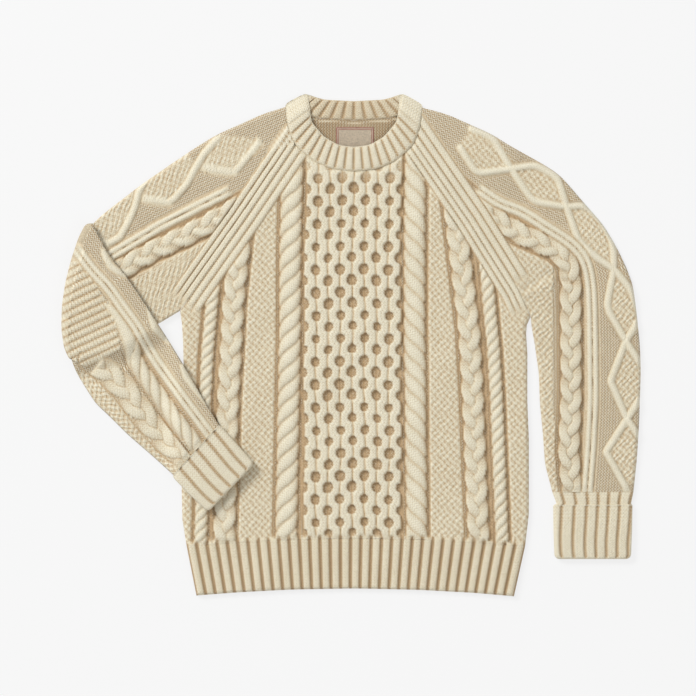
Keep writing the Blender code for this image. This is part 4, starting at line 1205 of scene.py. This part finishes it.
def make_cuff(name, slot, edges, valleys, lying):
    """A turned-back rib cuff; one that is lying rests on the body, not on the floor."""
    width = math.dist(edges[0][3], edges[1][3])
    v = np.linspace(0, 1, 113)
    t = np.concatenate([np.linspace(*rows) for rows in CUFF_ROWS])
    a, b = (keyed(edge, CUFF_KEYS, t) for edge in edges)
    corner = 1 - np.sqrt(1 - np.clip((t - 0.92) / 0.08, 0, 1) ** 2)
    pull = (corner * CUFF_CORNER / width)[:, None, None]
    plan = a[:, None] + (b - a)[:, None] * (pull + (1 - 2 * pull) * v[None, :, None])
    fold, run_in = (0.02, 0.03) if lying else (0.17, 0.1)
    double = smooth((t - fold) / 0.02)[:, None]
    sway = 0.012 * np.sin(t * 5.0 + 1.0)[:, None]
    away = np.min([np.abs(v[None] + sway - valley) for valley in valleys], axis=0) * width
    rise = smooth((away - 0.3) / 2.4)
    end_row = smooth((t - fold - 0.015) / 0.03)[:, None] * smooth((1 - t) / 0.035)[:, None]
    rise = np.where((double > 0.5) | lying, 1 - (1 - rise) * end_row, rise)
    middle = SEAM + double
    long_steps, long_mm = 67, 75
    end = crown((1 - t) * long_mm, EDGE_FADE)[:, None]
    high = crown(side_depth(plan), EDGE_FADE)
    start = smooth(t / run_in)[:, None]
    top = (1 - start) * GROUND + start * (GROUND - 1.6 + 2.4 * double + 2.6 * rise)
    lift = lying_height(plan) if lying else np.zeros(plan.shape[:2])
    front = middle + (top - middle) * high * (0.45 + 0.55 * end)
    back = np.where(end < 1, middle * (1 - high * (0.45 + 0.55 * end)), middle * (1 - high))
    light = shade("cuff", rise)
    wide, long = stitch_size()
    marks = marks_of((v * width)[None] / wide, (t * long_steps)[:, None] / long, front.shape)
    outer = tube_ring(place(plan, lift + front), place(plan, lift + back))
    pick = np.linspace(0, len(t) - 1, 8).astype(int)
    ins = inner_side(plan[pick])
    open_by = np.full(ins.shape[:2], 0.5)
    open_by[:, 0] = open_by[:, -1] = 0
    inner = tube_ring(
        place(ins, lift[pick] + middle[pick] + open_by), place(ins, lift[pick] + middle[pick] - open_by))
    item = tube_piece(name, outer, inner, tube_ring(light, light), tube_ring(marks, marks), wool(slot))


def make_label():
    """Woven label, a little wavy, sewn on the inside of the back."""
    corners = np.asarray(LABEL_CORNERS, float)
    t = np.linspace(0, 1, 24)[:, None, None]
    v = np.linspace(0, 1, 38)[None, :, None]
    plan = (1 - t) * ((1 - v) * corners[0] + v * corners[1]) + t * ((1 - v) * corners[3] + v * corners[2])
    height = BACK_TOP + 1.0 + 0.15 * np.sin(v[..., 0] * 9.0) * np.sin(t[..., 0] * 3.0)
    share = (plan - corners[0]) / (corners[2] - corners[0])
    share = np.concatenate([share, np.zeros(plan.shape[:2] + (1,))], -1)
    item = panel("neck_label", place(plan, height), np.full(plan.shape[:2], 0.8), share,
                 BACK_TOP + 0.3, label_weave())


class Nodes:
    """Short ways to add and join nodes of one material."""

    def __init__(self, name):
        self.material = bpy.data.materials.new(name)
        self.material.use_nodes = True
        self.tree = self.material.node_tree
        self.shader = self.tree.nodes["Principled BSDF"]

    def link(self, source, target):
        self.tree.links.new(source, target)

    def math(self, kind, *values):
        node = self.tree.nodes.new("ShaderNodeMath")
        node.operation = kind
        for socket, value in zip(node.inputs, values):
            if isinstance(value, (int, float)):
                socket.default_value = value
            else:
                self.link(value, socket)
        return node.outputs[0]

    def about(self, source, middle, gain):
        """How far a value is from its middle, times a gain."""
        return self.math("MULTIPLY", self.math("SUBTRACT", source, middle), gain)

    def wave(self, kind, turns):
        """A sine or cosine of full turns, raised to run from 0 to 1."""
        return self.about(self.math(kind, self.math("MULTIPLY", turns, 2 * math.pi)), -1.0, 0.5)

    def attribute(self, name):
        node = self.tree.nodes.new("ShaderNodeAttribute")
        node.attribute_name = name
        return node

    def noise(self, scale, detail=2.0, roughness=0.6):
        where = self.tree.nodes.new("ShaderNodeTexCoord")
        node = self.tree.nodes.new("ShaderNodeTexNoise")
        node.inputs["Scale"].default_value = scale
        node.inputs["Detail"].default_value = detail
        node.inputs["Roughness"].default_value = roughness
        self.link(where.outputs["Object"], node.inputs["Vector"])
        return node

    def mix(self, factor, first, second, kind="MIX"):
        node = self.tree.nodes.new("ShaderNodeMixRGB")
        node.blend_type = kind
        for socket, value in zip(node.inputs, (factor, first, second)):
            if isinstance(value, (int, float)):
                socket.default_value = value
            elif isinstance(value, tuple):
                socket.default_value = (*value, 1)
            else:
                self.link(value, socket)
        return node.outputs[0]

    def ramp(self, factor, stops):
        node = self.tree.nodes.new("ShaderNodeValToRGB")
        elements = node.color_ramp.elements
        while len(elements) < len(stops):
            elements.new(0.5)
        for element, (position, dye) in zip(elements, stops):
            element.position = position
            element.color = (*dye, 1)
        self.link(factor, node.inputs["Fac"])
        return node.outputs["Color"]

    def bump(self, height, distance, strength=1.0):
        node = self.tree.nodes.new("ShaderNodeBump")
        node.inputs["Strength"].default_value = strength
        node.inputs["Distance"].default_value = distance
        self.link(height, node.inputs["Height"])
        self.link(node.outputs["Normal"], self.shader.inputs["Normal"])


def wool(name):
    """Heathered wool: cream on the crests with tan to brown painted shade in the hollows, every stitch a
    small V in relief.
    """
    tone = colours()
    made = Nodes(name)
    made.shader.inputs["Roughness"].default_value = 0.95
    made.shader.inputs["Specular IOR Level"].default_value = 0.2
    made.shader.inputs["Sheen Weight"].default_value = 0.12
    made.shader.inputs["Sheen Roughness"].default_value = 0.6
    light = made.attribute("light").outputs["Fac"]
    parts = made.tree.nodes.new("ShaderNodeSeparateXYZ")
    made.link(made.attribute("stitch").outputs["Vector"], parts.inputs[0])
    arm = made.math("ABSOLUTE", made.math("SUBTRACT", made.math("FRACT", parts.outputs["X"]), 0.5))
    row = made.math("ADD", parts.outputs["Y"], made.math("MULTIPLY", arm, 1.5))
    stitch = made.math("MULTIPLY", made.wave("COSINE", row), made.wave("SINE", arm))
    fleck = made.noise(620.0, 3.0, 0.7)
    patchy = made.noise(26.0, 2.0)
    show = made.math("MULTIPLY", parts.outputs["Z"], parts.outputs["Z"])
    # Painted shade between stitches: the V pattern darkens the colour where the yarn dips, as well as
    # bumping it.
    value = made.math("ADD", light, made.math("MULTIPLY", made.math("SUBTRACT", stitch, 0.42), show))
    value = made.math("ADD", value, made.about(fleck.outputs["Fac"], 0.5, 0.9))
    value = made.math("ADD", value, made.about(patchy.outputs["Fac"], 0.5, 0.12))
    # The ramp paints shade: from the deepest hollows through the plain knitting to the wool's own colour on
    # the crests.
    dark = tuple(0.72 * c for c in tone.hollow_shade)
    middle = tuple(0.55 * h + 0.45 * w for h, w in zip(tone.hollow_shade, tone.wool))
    yarn = made.ramp(value, [
        (0.0, dark), (0.18, tuple(tone.hollow_shade)), (0.38, middle),
        (0.6, tuple(tone.wool)), (0.86, tuple(tone.crest))])
    yarn = made.mix(0.07, yarn, fleck.outputs["Color"], "OVERLAY")
    made.link(yarn, made.shader.inputs["Base Color"])
    relief = made.math("MULTIPLY", stitch, made.math("MULTIPLY", parts.outputs["Z"], 1.5))
    height = made.math("ADD", relief, made.math("MULTIPLY", fleck.outputs["Fac"], 0.8))
    made.bump(height, sizes().stitch_depth, 0.9)
    return made.material


def label_weave():
    """Fine woven ribbon with two thin border lines and a bare field."""
    tone = colours()
    made = Nodes("label_weave")
    made.shader.inputs["Roughness"].default_value = 0.7
    made.shader.inputs["Sheen Weight"].default_value = 0.1
    parts = made.tree.nodes.new("ShaderNodeSeparateXYZ")
    made.link(made.attribute("stitch").outputs["Vector"], parts.inputs[0])
    half_wide, half_long = (np.ptp(LABEL_CORNERS, axis=0) / 2).tolist()
    aside = made.math("ABSOLUTE", made.math("SUBTRACT", parts.outputs["X"], 0.5))
    astride = made.math("ABSOLUTE", made.math("SUBTRACT", parts.outputs["Y"], 0.5))
    from_side = made.math("SUBTRACT", half_wide, made.math("MULTIPLY", aside, 2 * half_wide))
    from_end = made.math("SUBTRACT", half_long, made.math("MULTIPLY", astride, 2 * half_long))
    edge = made.math("MINIMUM", from_side, from_end)
    outer, inner = made.math("COMPARE", edge, 0.75, 0.42), made.math("COMPARE", edge, 2.3, 0.28)
    lines = made.math("MAXIMUM", outer, inner)
    wefts, warps = 60, 90
    weft = made.math("SINE", made.math("MULTIPLY", parts.outputs["Y"], 2 * math.pi * wefts))
    warp = made.math("SINE", made.math("MULTIPLY", parts.outputs["X"], 2 * math.pi * warps))
    weave = made.math("MULTIPLY", weft, warp)
    speck = made.noise(900.0, 2.0)
    tint = made.math("ADD", made.math("MULTIPLY", weave, 0.12), speck.outputs["Fac"])
    dark, bright = (tuple(min(1, part * c) for c in tone.label_cloth) for part in (0.7, 1.15))
    cloth = made.ramp(tint, [(0.3, dark), (0.7, bright)])
    cloth = made.mix(made.math("MULTIPLY", lines, 0.85), cloth, tuple(tone.label_thread))
    made.link(cloth, made.shader.inputs["Base Color"])
    made.bump(made.math("ADD", weave, made.math("MULTIPLY", lines, 1.5)), 0.0002)
    return made.material


def make_stage():
    """White floor, sky, lamps, and the camera straight above."""
    bm = bmesh.new()
    bmesh.ops.create_grid(bm, x_segments=1, y_segments=1, size=FLOOR_REACH)
    bmesh.ops.translate(bm, verts=bm.verts[:], vec=(0, 0, -FLOOR_GAP))
    mesh = bpy.data.meshes.new("floor")
    bm.to_mesh(mesh)
    bm.free()
    floor = bpy.data.objects.new("floor", mesh)
    bpy.context.scene.collection.objects.link(floor)
    paper = Nodes("paper")
    paper.shader.inputs["Base Color"].default_value = (*(FLOOR_SHARE * c for c in colours().paper), 1)
    paper.shader.inputs["Emission Color"].default_value = (*colours().paper, 1)
    paper.shader.inputs["Emission Strength"].default_value = FLOOR_GLOW
    paper.shader.inputs["Roughness"].default_value = 0.9
    paper.shader.inputs["Specular IOR Level"].default_value = 0.1
    mesh.materials.append(paper.material)
    scene = bpy.context.scene
    scene.view_settings.view_transform = "Standard"
    world = bpy.data.worlds.new("studio")
    scene.world = world
    world.use_nodes = True
    world.node_tree.nodes["Background"].inputs["Color"].default_value = (1, 1, 1, 1)
    world.node_tree.nodes["Background"].inputs["Strength"].default_value = SKY
    for name, spot, size, power in LAMPS:
        lamp = bpy.data.lights.new(name, "AREA")
        lamp.size = size
        lamp.energy = power
        item = bpy.data.objects.new(name, lamp)
        item.location = spot
        item.rotation_euler = (-Vector(spot)).to_track_quat("-Z", "Y").to_euler()
        scene.collection.objects.link(item)
    camera = bpy.data.cameras.new("camera")
    camera.sensor_width = SENSOR_MM
    camera.lens = SENSOR_MM * (CAMERA_HIGH - CLOTH_HIGH) / (VIEW_WIDE * STEP)
    eye = bpy.data.objects.new("camera", camera)
    half = VIEW_WIDE / 2
    eye.location = ((half - MIDDLE[0]) * STEP, (MIDDLE[1] - half) * STEP, CAMERA_HIGH)
    scene.collection.objects.link(eye)
    scene.camera = eye


class SWEATER_OT_front(bpy.types.Operator):
    """Knit the front of the body"""

    bl_idname = "sweater.front"
    bl_label = "Front"

    def execute(self, context):
        make_front()
        return {"FINISHED"}


class SWEATER_OT_back(bpy.types.Operator):
    """Knit the back of the body"""

    bl_idname = "sweater.back"
    bl_label = "Back"

    def execute(self, context):
        make_back()
        return {"FINISHED"}


class SWEATER_OT_sleeves(bpy.types.Operator):
    """Knit both sleeves, the left one folded over the body"""

    bl_idname = "sweater.sleeves"
    bl_label = "Sleeves"

    def execute(self, context):
        make_sleeve_right()
        make_sleeve_left()
        return {"FINISHED"}


class SWEATER_OT_neck(bpy.types.Operator):
    """Knit the doubled band round the neck"""

    bl_idname = "sweater.neck"
    bl_label = "Neck Band"

    def execute(self, context):
        make_neck()
        return {"FINISHED"}


class SWEATER_OT_hems(bpy.types.Operator):
    """Knit the front and back ribs of the hem"""

    bl_idname = "sweater.hems"
    bl_label = "Hem Ribs"

    def execute(self, context):
        make_hems()
        return {"FINISHED"}


class SWEATER_OT_cuffs(bpy.types.Operator):
    """Knit both cuffs and turn them back"""

    bl_idname = "sweater.cuffs"
    bl_label = "Cuffs"

    def execute(self, context):
        make_cuff("cuff_right", "cuff_right_wool", CUFF_RIGHT, CUFF_RIGHT_VALLEYS, False)
        make_cuff("cuff_left", "cuff_left_wool", CUFF_LEFT, CUFF_LEFT_VALLEYS, True)
        return {"FINISHED"}


class SWEATER_OT_label(bpy.types.Operator):
    """Weave the label and sew it inside the neck"""

    bl_idname = "sweater.label"
    bl_label = "Label"

    def execute(self, context):
        make_label()
        return {"FINISHED"}


class SWEATER_OT_stage(bpy.types.Operator):
    """Set the floor, the studio light and the camera"""

    bl_idname = "sweater.stage"
    bl_label = "Stage"

    def execute(self, context):
        make_stage()
        return {"FINISHED"}


OPERATORS = (
    SWEATER_OT_front, SWEATER_OT_back, SWEATER_OT_sleeves, SWEATER_OT_neck,
    SWEATER_OT_hems, SWEATER_OT_cuffs, SWEATER_OT_label, SWEATER_OT_stage,
)


class SWEATER_PT_panel(bpy.types.Panel):
    """Steps, sizes and colours of the sweater"""

    bl_label = "Cable Knit Sweater"
    bl_idname = "SWEATER_PT_panel"
    bl_space_type = "VIEW_3D"
    bl_region_type = "UI"
    bl_category = "Sweater"

    def draw(self, context):
        for kind in OPERATORS:
            self.layout.operator(kind.bl_idname)
        for group in (context.scene.sweater_sizes, context.scene.sweater_colours):
            box = self.layout.box()
            for name in group.__annotations__:
                box.prop(group, name)


CLASSES = (SweaterSizes, SweaterColours) + OPERATORS + (SWEATER_PT_panel,)


def register():
    for kind in CLASSES:
        bpy.utils.register_class(kind)
    bpy.types.Scene.sweater_sizes = bpy.props.PointerProperty(type=SweaterSizes)
    bpy.types.Scene.sweater_colours = bpy.props.PointerProperty(type=SweaterColours)


def unregister():
    del bpy.types.Scene.sweater_colours
    del bpy.types.Scene.sweater_sizes
    for kind in reversed(CLASSES):
        bpy.utils.unregister_class(kind)


def main():
    register()
    bpy.ops.sweater.front()
    bpy.ops.sweater.back()
    bpy.ops.sweater.sleeves()
    bpy.ops.sweater.neck()
    bpy.ops.sweater.hems()
    bpy.ops.sweater.cuffs()
    bpy.ops.sweater.label()
    bpy.ops.sweater.stage()


if __name__ == "__main__":
    main()
